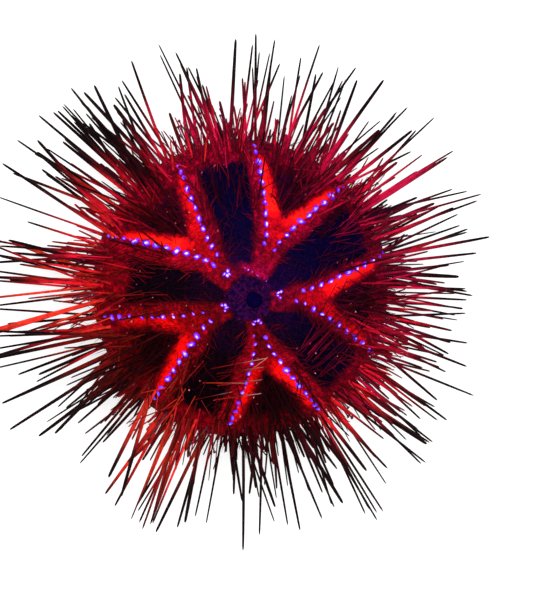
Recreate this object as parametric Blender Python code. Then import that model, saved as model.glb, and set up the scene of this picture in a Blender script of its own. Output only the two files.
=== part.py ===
"""Radiant sea urchin, life size, standing on its lower spines.

Metres, +Z up. The shell is five broad plates (interambulacra) and five narrow ones
(ambulacra) round one upright axis, closed on top by the genital plates and the
periproct with its anal cone, and below by the peristome, the lip and five teeth.
Every spine grows from the plate that it stands on.
"""

import math
import random
from typing import NamedTuple

import bmesh
import bpy
import numpy as np
from mathutils import Vector

MM = 0.001
GAP = 0.3 * MM
SEED = 11

# Shell, in metres
SHELL_RADIUS = 28.0 * MM
AMBITUS_HEIGHT = 12.6 * MM
SHELL_TOP = 25.2 * MM
SHELL_BOTTOM = 4.6 * MM
ROUNDNESS_UPPER = 2.2
ROUNDNESS_LOWER = 2.5
CORE_RADIUS = 1.2 * MM

# Five-fold plan, in degrees: the middle line of the first broad plate, and half its width
FIRST_PLATE_AZIMUTH = -9.0
PLATE_STEP = 72.0
BROAD_HALF_WIDTH = 22.5

# Top plates
APICAL_CENTRE = Vector((-0.3 * MM, -1.2 * MM, 0.0))
PERIPROCT_APOTHEM = 3.9 * MM
PERIPROCT_CORNER = 4.6 * MM
GENITAL_OUTER = 7.6 * MM
GENITAL_RISE = 0.45 * MM
APICAL_SHELF = 22.0 * MM
PERIPROCT_RIM = SHELL_TOP - 0.5 * MM
PERIPROCT_CROWN = SHELL_TOP + 0.15 * MM
PERIPROCT_CROWN_SHARE = 0.82
SEAT_LEVEL = SHELL_TOP - 0.9 * MM
ANAL_CONE_RADIUS = 1.5 * MM
ANAL_CONE_CROWN = SHELL_TOP + 1.9 * MM
ANAL_CONE_DIMPLE = 0.5 * MM
ANAL_CONE_SIDES = 14
ANAL_CONE_OFFSET = Vector((0.9 * MM, -0.4 * MM, 0.0))

# Mouth
PERISTOME_OUTER = 9.0 * MM
PERISTOME_INNER = 3.6 * MM
PERISTOME_LEVEL = 6.6 * MM
ORAL_SHELF = 9.2 * MM
LIP_OUTER = 3.3 * MM
LIP_INNER = 2.0 * MM
LIP_LEVEL = 5.9 * MM
TOOTH_RADIUS = 1.6 * MM
TOOTH_TIP = 4.4 * MM

# Spines
SPINE_SIDES = 4
SPINE_TIP_START = 0.74
MAIN_RADIUS = 0.56 * MM
FINE_RADIUS = 0.46 * MM
END_RADIUS = 0.37 * MM
LEAST_RISE = math.sin(math.radians(24.0))
LEAN_SPREAD = 5.0
FLOOR_CLEARANCE = 0.6 * MM
SINK_BELOW_SKIN = 0.5 * MM
LEAST_SINK = 0.9 * MM
TIP_ABOVE_FLOOR = 1.1 * MM
EDGE_SHARE = 0.93
# How few spines are near full length, more on the bushy side, and how far they lean into tufts
# every 30 degrees of azimuth: distance in millimetres from the axis that the longest spines
# reach, and the power that keeps most of them shorter
SECTORS = (
    (47.0, 1.1), (48.5, 1.2), (47.5, 1.3), (50.0, 1.8), (49.0, 0.8), (52.0, 0.8),
    (53.0, 0.6), (50.0, 0.9), (50.0, 1.6), (50.0, 1.8), (52.0, 0.9), (48.0, 1.7),
)
TUFTS = 17
TUFT_PULL = 9.0
TUFT_PHASE = 0.8
ATTEMPTS_PER_SPINE = 60


class Zone(NamedTuple):
    """Band of a plate and the spines on it; angles in degrees, lengths in millimetres.

    phi: the band, from the top (0) over the ambitus (90) to the mouth (180)
    turn: spread of the heading either side of straight out
    lean: angle off the upright at phi = 0, and its growth with phi
    share: least part of the full length or reach that a spine has
    length: length at phi = 0 and its growth with phi, or None to grow out to the reach
    """

    phi: tuple
    count: int
    turn: float
    lean: tuple
    share: float
    length: tuple


class Laid(NamedTuple):
    """Long spines that lie across a dark petal; angles in degrees, lengths in millimetres.

    petal: number of the narrow plate
    heading: azimuth that they point to, and its spread
    lean: angle off the upright
    lengths: shortest and longest
    across: places of their roots, from -1 at one edge of the plate to 1 at the other
    phi: angles of their roots from the top
    """

    petal: int
    heading: tuple
    lean: float
    lengths: tuple
    across: tuple
    phi: tuple


BROAD_ZONES = (
    Zone((30, 62), 18, 10.0, (31, 0.60), 0.70, (4.0, 0.23)),
    Zone((62, 100), 34, 8.0, (36, 0.56), 0.60, None),
    Zone((100, 122), 15, 8.0, (46, 0.50), 0.58, None),
    Zone((122, 158), 15, 25.0, (60, 0.60), 0.75, (7.0, 0.0)),
)
NARROW_ZONES = (
    Zone((30, 62), 10, 12.0, (29, 0.60), 0.65, (2.5, 0.22)),
    Zone((62, 100), 18, 8.0, (36, 0.56), 0.60, None),
    Zone((100, 122), 8, 8.0, (46, 0.50), 0.58, None),
    Zone((122, 158), 7, 25.0, (60, 0.60), 0.75, (7.0, 0.0)),
)
# Spines that stand on the floor: angle from the top, place across the plate, lean
STANDING = ((138.0, 0.0, 160.0), (128.0, 0.55, 150.0), (128.0, -0.55, 150.0), (152.0, 0.3, 168.0))
LAID_OVER = (
    Laid(3, (22.0, 11.0), 58.0, (9.0, 12.5), (-0.2, 0.85), (32.0, 50.0)),
    Laid(4, (49.0, 6.0), 58.0, (9.0, 13.0), (-0.88, -0.25), (28.0, 48.0)),
)
LAID_COUNT = 7


def clear_scene():
    """Empty the file's scene."""
    for item in list(bpy.data.objects):
        bpy.data.objects.remove(item, do_unlink=True)


def finish(name, colour, roughness):
    """One Principled material."""
    made = bpy.data.materials.new(name)
    made.use_nodes = True
    shader = made.node_tree.nodes["Principled BSDF"]
    shader.inputs["Base Color"].default_value = (*colour, 1.0)
    shader.inputs["Roughness"].default_value = roughness
    shader.inputs["Metallic"].default_value = 0.0
    return made


def meridian(phi):
    """Radius and height of the shell at angle phi from the top, in radians."""
    upper = phi < math.pi / 2
    power = 2.0 / (ROUNDNESS_UPPER if upper else ROUNDNESS_LOWER)
    radius = SHELL_RADIUS * math.sin(phi) ** power
    drop = abs(math.cos(phi)) ** power
    if upper:
        return radius, AMBITUS_HEIGHT + (SHELL_TOP - AMBITUS_HEIGHT) * drop
    return radius, AMBITUS_HEIGHT - (AMBITUS_HEIGHT - SHELL_BOTTOM) * drop


def phi_at(radius, upper):
    """Angle from the top at which the meridian has the given radius."""
    power = 2.0 / (ROUNDNESS_UPPER if upper else ROUNDNESS_LOWER)
    phi = math.asin(min(1.0, (radius / SHELL_RADIUS) ** (1.0 / power)))
    return phi if upper else math.pi - phi


def polar(radius, azimuth, height):
    """Point from a radius, an azimuth in radians and a height."""
    return Vector((radius * math.cos(azimuth), radius * math.sin(azimuth), height))


def ray_to_circle(azimuth, radius):
    """Distance from the axis, along an azimuth, to a circle round the apical centre."""
    along = APICAL_CENTRE.x * math.cos(azimuth) + APICAL_CENTRE.y * math.sin(azimuth)
    across = APICAL_CENTRE.length_squared - along * along
    return along + math.sqrt(radius * radius - across)


def plate_azimuth(number):
    """Middle line of a broad plate, in radians."""
    return math.radians(FIRST_PLATE_AZIMUTH + PLATE_STEP * number)


def periproct_edge(azimuth, margin):
    """Radius of the five-sided periproct at an azimuth, widened by a margin."""
    edge = ray_to_circle(azimuth, PERIPROCT_CORNER + margin)
    for number in range(5):
        side = plate_azimuth(number)
        facing = math.cos(azimuth - side)
        if facing > 0.5:
            shift = APICAL_CENTRE.x * math.cos(side) + APICAL_CENTRE.y * math.sin(side)
            edge = min(edge, (PERIPROCT_APOTHEM + margin + shift) / facing)
    return edge


def loft(name, sections, closed, made_of):
    """Closed body from equal sections of points; open lofts get an end face each."""
    grid = bmesh.new()
    rings = [[grid.verts.new(point) for point in section] for section in sections]
    count = len(rings[0])
    pairs = list(zip(rings, rings[1:]))
    if closed:
        pairs.append((rings[-1], rings[0]))
    for first, second in pairs:
        for i in range(count):
            j = (i + 1) % count
            grid.faces.new((first[i], first[j], second[j], second[i]))
    if not closed:
        grid.faces.new(list(reversed(rings[0])))
        grid.faces.new(rings[-1])
    return body_from(name, grid, made_of)


def body_from(name, grid, made_of):
    """Object from a bmesh, with its faces pointing out."""
    bmesh.ops.recalc_face_normals(grid, faces=grid.faces)
    mesh = bpy.data.meshes.new(name)
    grid.to_mesh(mesh)
    grid.free()
    mesh.materials.append(made_of)
    made = bpy.data.objects.new(name, mesh)
    bpy.context.scene.collection.objects.link(made)
    return made


class Sector:
    """Slice of the shell between two upright planes through the axis."""

    def __init__(self, middle, half_width):
        self.middle = middle
        self.half = half_width

    def columns(self, count):
        """Azimuths across the slice, from edge to edge."""
        return [self.middle + self.half * (2.0 * i / count - 1.0) for i in range(count + 1)]

    def place(self, radius, azimuth, height):
        """Point of the slice, held half a gap inside its two planes."""
        room = math.asin(min(1.0, 0.5 * GAP / radius))
        low = self.middle - self.half + room
        high = self.middle + self.half - room
        return polar(radius, min(max(azimuth, low), high), height)

    def depth_inside(self, point):
        """How far a point lies inside the nearer of the two planes."""
        azimuth = math.atan2(point[1], point[0])
        radius = math.hypot(point[0], point[1])
        off = (azimuth - self.middle + math.pi) % (2.0 * math.pi) - math.pi
        return radius * math.sin(self.half - abs(off)) if abs(off) < self.half + 1.0 else -radius


def shell_slice(name, sector, inner_edge, columns, made_of):
    """One plate of the shell, from the top plates' edge to the peristome's."""
    sections = []
    rows = [math.radians(a) for a in (29, 41, 53, 66, 79, 90, 101, 113, 126, 139)]
    last = phi_at(PERISTOME_OUTER, False)
    for azimuth in sector.columns(columns):
        edge = inner_edge(azimuth)
        outline = [(edge, APICAL_SHELF), meridian(phi_at(edge, True))]
        outline += [meridian(phi) for phi in rows]
        outline += [meridian(last), (PERISTOME_OUTER, ORAL_SHELF), (CORE_RADIUS, ORAL_SHELF)]
        outline.append((CORE_RADIUS, APICAL_SHELF))
        sections.append([sector.place(r, azimuth, z) for r, z in outline])
    return loft(name, sections, False, made_of)


def genital_plate(name, sector, made_of):
    """Raised plate between the periproct and the top of a broad plate."""
    floor = APICAL_SHELF + GAP
    sections = []
    for azimuth in sector.columns(4):
        inner = periproct_edge(azimuth, GAP)
        outer = ray_to_circle(azimuth, GENITAL_OUTER)
        top = meridian(phi_at(outer, True))[1]
        outline = [(inner, floor), (inner, top + 0.3 * GENITAL_RISE)]
        outline.append((inner + 0.3 * (outer - inner), top + GENITAL_RISE))
        outline.append((inner + 0.75 * (outer - inner), top + GENITAL_RISE))
        outline += [(outer, top), (outer, floor)]
        sections.append([sector.place(r, azimuth, z) for r, z in outline])
    return loft(name, sections, False, made_of)


def periproct(made_of):
    """Low five-sided cushion in the middle of the top, with a seat for the anal cone."""
    grid = bmesh.new()
    floor = APICAL_SHELF + GAP
    azimuths = [math.radians(FIRST_PLATE_AZIMUTH + 12.0 * i) for i in range(30)]
    seat = APICAL_CENTRE + ANAL_CONE_OFFSET
    rings = []
    for share, height in ((1.0, floor), (1.0, PERIPROCT_RIM), (PERIPROCT_CROWN_SHARE, PERIPROCT_CROWN)):
        ring = []
        for azimuth in azimuths:
            edge = polar(periproct_edge(azimuth, 0.0), azimuth, 0.0)
            point = APICAL_CENTRE + share * (edge - APICAL_CENTRE)
            ring.append(grid.verts.new((point.x, point.y, height)))
        rings.append(ring)
    seat_radius = ANAL_CONE_RADIUS + GAP
    for height in (PERIPROCT_CROWN, SEAT_LEVEL):
        ring = [grid.verts.new(seat + polar(seat_radius, azimuth, height)) for azimuth in azimuths]
        rings.append(ring)
    for first, second in zip(rings, rings[1:]):
        for i in range(len(azimuths)):
            j = (i + 1) % len(azimuths)
            grid.faces.new((first[i], first[j], second[j], second[i]))
    grid.faces.new(rings[0])
    grid.faces.new(rings[-1])
    return body_from("periproct", grid, made_of)


def anal_cone(made_of):
    """Short cone with a dimpled end, standing in its seat in the periproct."""
    seat = APICAL_CENTRE + ANAL_CONE_OFFSET
    shoulder = 0.5 * (PERIPROCT_CROWN + ANAL_CONE_CROWN)
    profile = ((1.0, SEAT_LEVEL + GAP), (1.0, PERIPROCT_CROWN), (0.88, shoulder), (0.5, ANAL_CONE_CROWN))
    grid = bmesh.new()
    sides = ANAL_CONE_SIDES
    angles = [2.0 * math.pi * i / sides for i in range(sides)]
    rings = []
    for share, height in profile:
        ring = [seat + polar(share * ANAL_CONE_RADIUS, angle, height) for angle in angles]
        rings.append([grid.verts.new(point) for point in ring])
    dimple = grid.verts.new(seat + Vector((0.0, 0.0, ANAL_CONE_CROWN - ANAL_CONE_DIMPLE)))
    for first, second in zip(rings, rings[1:]):
        for i in range(sides):
            j = (i + 1) % sides
            grid.faces.new((first[i], first[j], second[j], second[i]))
    for i in range(sides):
        grid.faces.new((rings[-1][i], rings[-1][(i + 1) % sides], dimple))
    grid.faces.new(rings[0])
    return body_from("anal_cone", grid, made_of)


def turned_ring(name, outline, sides, made_of):
    """Ring turned round the axis from a closed outline of radius and height."""
    sections = []
    for i in range(sides):
        azimuth = 2.0 * math.pi * i / sides
        sections.append([polar(r, azimuth, z) for r, z in outline])
    return loft(name, sections, True, made_of)


def mouth(peristome_finish, lip_finish, tooth_finish):
    """Peristome, lip and the five tooth tips that close the mouth."""
    top = ORAL_SHELF - GAP
    outer = PERISTOME_OUTER - 0.1 * MM
    membrane = [(PERISTOME_INNER, top), (PERISTOME_INNER, PERISTOME_LEVEL + 0.3 * MM)]
    membrane += [(5.0 * MM, PERISTOME_LEVEL), (7.2 * MM, PERISTOME_LEVEL + 0.4 * MM)]
    membrane += [(outer, PERISTOME_LEVEL + 1.2 * MM), (outer, top)]
    made = [turned_ring("peristome", membrane, 30, peristome_finish)]
    lip = [(LIP_INNER, top), (LIP_INNER, LIP_LEVEL + 0.3 * MM), (2.4 * MM, LIP_LEVEL)]
    lip += [(2.9 * MM, LIP_LEVEL), (LIP_OUTER, LIP_LEVEL + 0.6 * MM), (LIP_OUTER, top)]
    made.append(turned_ring("lip", lip, 20, lip_finish))
    for number in range(5):
        made.append(tooth("tooth_%d" % (number + 1), plate_azimuth(number), top, tooth_finish))
    return made


def tooth(name, middle, top, made_of):
    """Wedge-shaped tooth that narrows to a chisel tip near the axis."""
    slice_of = Sector(middle, math.radians(36.0))
    levels = ((top, TOOTH_RADIUS), (LIP_LEVEL, TOOTH_RADIUS), (TOOTH_TIP, 0.8 * MM))
    sections = []
    for height, outer in levels:
        inner = 0.45 * MM
        ring = [slice_of.place(inner, middle - 1.0, height), slice_of.place(inner, middle + 1.0, height)]
        for turn in (0.42, 0.0, -0.42):
            ring.append(slice_of.place(outer, middle + turn, height))
        sections.append(ring)
    return loft(name, sections, False, made_of)


def axis_gap(start, end, radii, others):
    """Least clear distance from one spine to each of the others already set."""
    if not others:
        return 1.0
    base = np.array([o[0] for o in others])
    run = np.array([o[1] for o in others]) - base
    other_radii = np.array([o[2] for o in others])
    own = end - start
    offset = start - base
    a = float(own @ own)
    e = np.einsum("ij,ij->i", run, run)
    f = np.einsum("ij,ij->i", run, offset)
    b = run @ own
    c = offset @ own
    spread = np.maximum(a * e - b * b, 1e-16)
    s = np.clip((b * f - c * e) / spread, 0.0, 1.0)
    t = np.clip((b * s + f) / e, 0.0, 1.0)
    s = np.clip((b * t - c) / a, 0.0, 1.0)
    apart = offset + s[:, None] * own - t[:, None] * run
    reach = np.linalg.norm(apart, axis=1)
    own_radius = radii[0] + (radii[1] - radii[0]) * s
    their_radius = other_radii[:, 0] + (other_radii[:, 1] - other_radii[:, 0]) * t
    return float(np.min(reach - own_radius - their_radius))


def surface_at(azimuth, phi):
    """Point on the shell and the outward normal there."""
    radius, height = meridian(phi)
    step = 0.01
    before = meridian(phi - step)
    after = meridian(phi + step)
    along = Vector((after[0] - before[0], 0.0, after[1] - before[1]))
    flat_normal = Vector((-along.z, 0.0, along.x)).normalized()
    normal = Vector((flat_normal.x * math.cos(azimuth), flat_normal.x * math.sin(azimuth), flat_normal.z))
    return polar(radius, azimuth, height), normal


def sector_value(azimuth, column):
    """Value of a column of SECTORS at an azimuth, blended between its neighbours."""
    place = (azimuth / (2.0 * math.pi)) % 1.0 * len(SECTORS)
    before = int(place) % len(SECTORS)
    after = (before + 1) % len(SECTORS)
    share = place - int(place)
    return SECTORS[before][column] * (1.0 - share) + SECTORS[after][column] * share


def tuft_turn(azimuth):
    """How far a spine turns towards the middle of its tuft, in degrees."""
    return -TUFT_PULL * math.sin(TUFTS * azimuth + TUFT_PHASE)


def direction_of(azimuth, lean):
    """Unit direction that leans from the upright towards an azimuth, in radians."""
    return Vector((math.sin(lean) * math.cos(azimuth), math.sin(lean) * math.sin(azimuth), math.cos(lean)))


def naked_band(azimuth, phi, middle):
    """True on the bare forked band of a broad plate's upper side."""
    radius = meridian(phi)[0]
    along = radius * math.cos(azimuth - middle)
    across = abs(radius * math.sin(azimuth - middle))
    share = max(0.0, (along - 9.5 * MM) / (15.5 * MM))
    row = 1.0 * MM + 8.0 * MM * share ** 1.15
    return phi < math.radians(62.0) and row - 2.6 * MM < across < row + 1.0 * MM


class SpineField:
    """Seeded spines of every plate, kept clear of each other and of other plates."""

    def __init__(self):
        self.draw = random.Random(SEED)
        self.placed = []
        self.by_plate = {}

    def add(self, plate, sector, azimuth, phi, heading, lean, length, radius, rests):
        """Set one spine if it is clear, and say whether it was."""
        root, normal = surface_at(azimuth, phi)
        direction = direction_of(heading, lean)
        rise = direction.dot(normal)
        if rise < LEAST_RISE:
            return False
        if rests:
            length = -root.z / direction.z
        tip = root + direction * length
        sink = (radius * math.sqrt(1.0 - min(1.0, rise) ** 2) + SINK_BELOW_SKIN) / rise
        sink = max(sink, LEAST_SINK)
        start = root - direction * sink
        if not rests and tip.z < FLOOR_CLEARANCE + END_RADIUS:
            return False
        if not self.clear_of_plates(sector, root, normal, direction, sink, radius):
            return False
        radii = (radius, END_RADIUS)
        if axis_gap(np.array(start), np.array(tip), radii, self.placed) < 1.1 * GAP:
            return False
        self.placed.append((np.array(start), np.array(tip), radii))
        self.by_plate.setdefault(plate, []).append((start, tip, radius, rests))
        return True

    def clear_of_plates(self, sector, root, normal, direction, sink, radius):
        """True if the spine keeps off the neighbouring plates near its root."""
        for step in range(-3, 13):
            along = step * sink / 3.0 if step < 0 else step * 0.7 * MM
            point = root + direction * along
            above = (point - root).dot(normal)
            beside = sector.depth_inside(point)
            if beside < radius + GAP and above < radius + 1.2 * GAP:
                return False
        return True

    def fill(self, plate, sector, zone, broad):
        """Scatter one zone's spines over its band of a plate."""
        wanted = zone.count
        low, high = zone.phi
        radius = MAIN_RADIUS if broad else FINE_RADIUS
        for _ in range(zone.count * ATTEMPTS_PER_SPINE):
            if wanted == 0:
                return
            azimuth = sector.middle + EDGE_SHARE * sector.half * self.draw.uniform(-1.0, 1.0)
            degrees = self.draw.uniform(low, high)
            phi = math.radians(degrees)
            turn = math.radians(self.draw.gauss(tuft_turn(azimuth), zone.turn))
            lean = math.radians(self.draw.gauss(zone.lean[0] + zone.lean[1] * degrees, LEAN_SPREAD))
            share = zone.share + (1.0 - zone.share) * self.draw.random() ** sector_value(azimuth, 1)
            if broad and naked_band(azimuth, phi, sector.middle):
                continue
            length = self.length_for(zone, azimuth, degrees, lean, share)
            if self.add(plate, sector, azimuth, phi, azimuth + turn, lean, length, radius, False):
                wanted -= 1

    def length_for(self, zone, azimuth, degrees, lean, share):
        """Length of a spine, cut short where it would come near the floor."""
        radius, height = meridian(math.radians(degrees))
        if zone.length:
            length = share * MM * (zone.length[0] + zone.length[1] * degrees)
        else:
            length = (share * sector_value(azimuth, 0) * MM - radius) / math.sin(lean)
        if lean > math.pi / 2:
            length = min(length, (height - TIP_ABOVE_FLOOR) / -math.cos(lean))
        return length

    def lay_over(self, plate, sector, laid):
        """Set the long spines that lie across a petal."""
        wanted = LAID_COUNT
        for _ in range(LAID_COUNT * ATTEMPTS_PER_SPINE):
            if wanted == 0:
                return
            azimuth = sector.middle + sector.half * self.draw.uniform(*laid.across)
            phi = math.radians(self.draw.uniform(*laid.phi))
            aim = math.radians(self.draw.gauss(*laid.heading))
            tilt = math.radians(self.draw.gauss(laid.lean, LEAN_SPREAD))
            length = MM * self.draw.uniform(*laid.lengths)
            if self.add(plate, sector, azimuth, phi, aim, tilt, length, FINE_RADIUS, False):
                wanted -= 1

    def stand(self, plate, sector, phi, share, lean):
        """Set one spine that stands on the floor."""
        azimuth = sector.middle + share * sector.half
        for turn in (0.0, 0.12, -0.12, 0.24, -0.24):
            placed = self.add(
                plate, sector, azimuth + 0.3 * turn, math.radians(phi), azimuth + turn,
                math.radians(lean), 0.0, FINE_RADIUS, True,
            )
            if placed:
                return


def spine_body(index, start, tip, radius, rests):
    """Tapered four-sided spine, flat on the floor if it stands there."""
    grid = bmesh.new()
    direction = (tip - start).normalized()
    side = direction.orthogonal().normalized()
    up = direction.cross(side)
    length = (tip - start).length
    stations = [(0.0, radius), (SPINE_TIP_START, END_RADIUS)]
    if rests:
        stations = [(0.0, radius), (1.0, END_RADIUS)]
    rings = []
    for share, ring_radius in stations:
        ring = []
        for i in range(SPINE_SIDES):
            angle = 2.0 * math.pi * (i + 0.5) / SPINE_SIDES + index
            offset = ring_radius * (math.cos(angle) * side + math.sin(angle) * up)
            point = start + direction * (share * length) + offset
            if rests and share == 1.0:
                point = point - direction * (point.z / direction.z)
                point.z = 0.0
            ring.append(grid.verts.new(point))
        rings.append(ring)
    grid.faces.new(list(reversed(rings[0])))
    for i in range(SPINE_SIDES):
        j = (i + 1) % SPINE_SIDES
        grid.faces.new((rings[0][i], rings[0][j], rings[1][j], rings[1][i]))
    if rests:
        grid.faces.new(rings[1])
    else:
        point = grid.verts.new(tip)
        for i in range(SPINE_SIDES):
            grid.faces.new((rings[1][i], rings[1][(i + 1) % SPINE_SIDES], point))
    bmesh.ops.recalc_face_normals(grid, faces=grid.faces)
    mesh = bpy.data.meshes.new("spine")
    grid.to_mesh(mesh)
    grid.free()
    return bpy.data.objects.new("spine", mesh)


def fuse(body, spines):
    """Join spines to the plate that they grow from, as one closed body."""
    group = bpy.data.collections.new("spines")
    bpy.context.scene.collection.children.link(group)
    for index, (start, tip, radius, rests) in enumerate(spines):
        group.objects.link(spine_body(index, start, tip, radius, rests))
    union = body.modifiers.new("Spines", "BOOLEAN")
    union.operation = "UNION"
    union.operand_type = "COLLECTION"
    union.collection = group
    union.solver = "EXACT"
    evaluated = body.evaluated_get(bpy.context.evaluated_depsgraph_get())
    joined = bpy.data.meshes.new_from_object(evaluated)
    body.modifiers.clear()
    body.data = joined
    for item in list(group.objects):
        bpy.data.objects.remove(item, do_unlink=True)
    bpy.data.collections.remove(group)
    keep_largest(body)


def keep_largest(body):
    """Drop every closed surface of a mesh but the largest."""
    grid = bmesh.new()
    grid.from_mesh(body.data)
    left = set(grid.faces)
    shells = []
    while left:
        seed = left.pop()
        shell = [seed]
        queue = [seed]
        while queue:
            for edge in queue.pop().edges:
                for face in edge.link_faces:
                    if face in left:
                        left.remove(face)
                        shell.append(face)
                        queue.append(face)
        shells.append(shell)
    shells.sort(key=len)
    scraps = [face for shell in shells[:-1] for face in shell]
    bmesh.ops.delete(grid, geom=scraps, context="FACES")
    grid.to_mesh(body.data)
    grid.free()


def centre_on_floor(bodies):
    """Move all bodies so that the middle of the whole spread is over the origin."""
    points = np.array([tuple(v.co) for body in bodies for v in body.data.vertices])
    middle = 0.5 * (points.min(axis=0) + points.max(axis=0))
    for body in bodies:
        body.location = (-middle[0], -middle[1], 0.0)


def build():
    """Model the whole urchin."""
    clear_scene()
    broad_finish = finish("red_skin", (0.42, 0.015, 0.02), 0.5)
    narrow_finish = finish("dark_skin", (0.03, 0.004, 0.05), 0.5)
    genital_finish = finish("genital_skin", (0.3, 0.01, 0.03), 0.5)
    periproct_finish = finish("periproct_skin", (0.03, 0.006, 0.06), 0.45)
    anal_finish = finish("anal_skin", (0.008, 0.005, 0.04), 0.4)
    oral_finish = finish("oral_skin", (0.2, 0.05, 0.05), 0.6)
    lip_finish = finish("lip_skin", (0.3, 0.12, 0.1), 0.55)
    tooth_finish = finish("tooth", (0.8, 0.78, 0.7), 0.4)

    bodies = []
    field = SpineField()
    plates = []
    broad_half = math.radians(BROAD_HALF_WIDTH)
    narrow_half = math.radians(0.5 * PLATE_STEP - BROAD_HALF_WIDTH)
    for number in range(5):
        broad = Sector(plate_azimuth(number), broad_half)
        narrow = Sector(plate_azimuth(number) + math.radians(0.5 * PLATE_STEP), narrow_half)
        label = number + 1
        plates.append(("interambulacrum_%d" % label, broad, True))
        plates.append(("ambulacrum_%d" % label, narrow, False))
        bodies.append(genital_plate("genital_plate_%d" % label, broad, genital_finish))

    for name, sector, is_broad in plates:
        standing = STANDING if is_broad else STANDING[:1]
        for phi, share, lean in standing:
            field.stand(name, sector, phi, share, lean)
    for laid in LAID_OVER:
        name, sector, _ = plates[2 * laid.petal + 1]
        field.lay_over(name, sector, laid)
    for name, sector, is_broad in plates:
        for zone in BROAD_ZONES if is_broad else NARROW_ZONES:
            field.fill(name, sector, zone, is_broad)

    for name, sector, is_broad in plates:
        if is_broad:
            body = shell_slice(name, sector, lambda a: ray_to_circle(a, GENITAL_OUTER + GAP), 6, broad_finish)
        else:
            body = shell_slice(name, sector, lambda a: periproct_edge(a, GAP), 4, narrow_finish)
        fuse(body, field.by_plate[name])
        bodies.append(body)

    bodies.append(periproct(periproct_finish))
    bodies.append(anal_cone(anal_finish))
    bodies += mouth(oral_finish, lip_finish, tooth_finish)
    centre_on_floor(bodies)


build()
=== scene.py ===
"""Radiant sea urchin, life size, at rest on its lower spines.

One skin covers the shell, its top plates and the mouth's membrane. Domed blue spots lie along
its forked bare bands. The spines with their collars, the fringes of the dark petals, the tube
feet and the stalked pincers are joined meshes that grow from that skin. Metres, +Z up, in the
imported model's frame.
"""

import logging
import math
import random
from dataclasses import dataclass
from enum import Enum
from math import cos, hypot, pi, radians, sin
from typing import Callable, ClassVar, NamedTuple

import bpy
import numpy as np
from mathutils import Matrix, Vector, noise


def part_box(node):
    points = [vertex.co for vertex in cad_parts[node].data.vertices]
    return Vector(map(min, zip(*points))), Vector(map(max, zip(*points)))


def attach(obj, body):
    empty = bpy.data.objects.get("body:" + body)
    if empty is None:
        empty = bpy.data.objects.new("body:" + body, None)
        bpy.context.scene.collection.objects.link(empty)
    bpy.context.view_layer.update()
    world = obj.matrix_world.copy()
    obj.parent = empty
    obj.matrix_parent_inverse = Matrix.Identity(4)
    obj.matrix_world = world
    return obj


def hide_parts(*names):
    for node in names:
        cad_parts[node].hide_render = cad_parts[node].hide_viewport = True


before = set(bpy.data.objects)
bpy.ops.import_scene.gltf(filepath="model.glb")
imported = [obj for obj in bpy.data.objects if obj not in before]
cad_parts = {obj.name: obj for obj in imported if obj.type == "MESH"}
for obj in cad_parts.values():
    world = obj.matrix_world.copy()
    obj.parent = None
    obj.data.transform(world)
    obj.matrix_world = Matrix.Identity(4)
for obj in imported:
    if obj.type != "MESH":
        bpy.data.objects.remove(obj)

LOG = logging.getLogger("urchin")
MM = 0.001
TURN = 2.0 * pi
BROAD_NODES = tuple("interambulacrum_%d" % n for n in range(1, 6))
NARROW_NODES = tuple("ambulacrum_%d" % n for n in range(1, 6))
TOP_NODES = tuple("genital_plate_%d" % n for n in range(1, 6)) + ("periproct",)
TOOTH_NODES = tuple("tooth_%d" % n for n in range(1, 6))
MOTTLE_GROUP = "Skin mottle"
Array = np.ndarray
Triple = tuple[float, float, float]
Colour = Triple
Pair = tuple[float, float]
Pairs = tuple[Pair, ...]


def soft_step(low: float, high: float, value: Array) -> Array:
    """Smooth rise from 0 at low to 1 at high."""
    share = np.clip((value - low) / (high - low), 0.0, 1.0)
    return share * share * (3.0 - 2.0 * share)


def bell(centre: float, width: float, value: Array) -> Array:
    """Smooth hump of height 1 round a centre."""
    return np.exp(-(((value - centre) / width) ** 2))


def hump(centre: float, width: float, azimuth: float) -> float:
    """Smooth hump of height 1 round an azimuth, all in radians."""
    return float(bell(0.0, width, math.remainder(azimuth - centre, TURN)))


def curve(points: Pairs, value: Array) -> Array:
    """Height at some places of a line drawn through points, each a place and a height."""
    return np.interp(value, *zip(*points))


def clamp(value: float, least: float = 0.0) -> float:
    """A value kept between the least and 1."""
    return min(1.0, max(least, value))


def polar(radius: float, azimuth: float, height: float) -> Vector:
    """Point from a radius, an azimuth in radians and a height."""
    return Vector((radius * cos(azimuth), radius * sin(azimuth), height))


def lean_to(azimuth: float, lean: float) -> Vector:
    """Unit direction that leans from the upright towards an azimuth, in radians."""
    return polar(sin(lean), azimuth, cos(lean))


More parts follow.
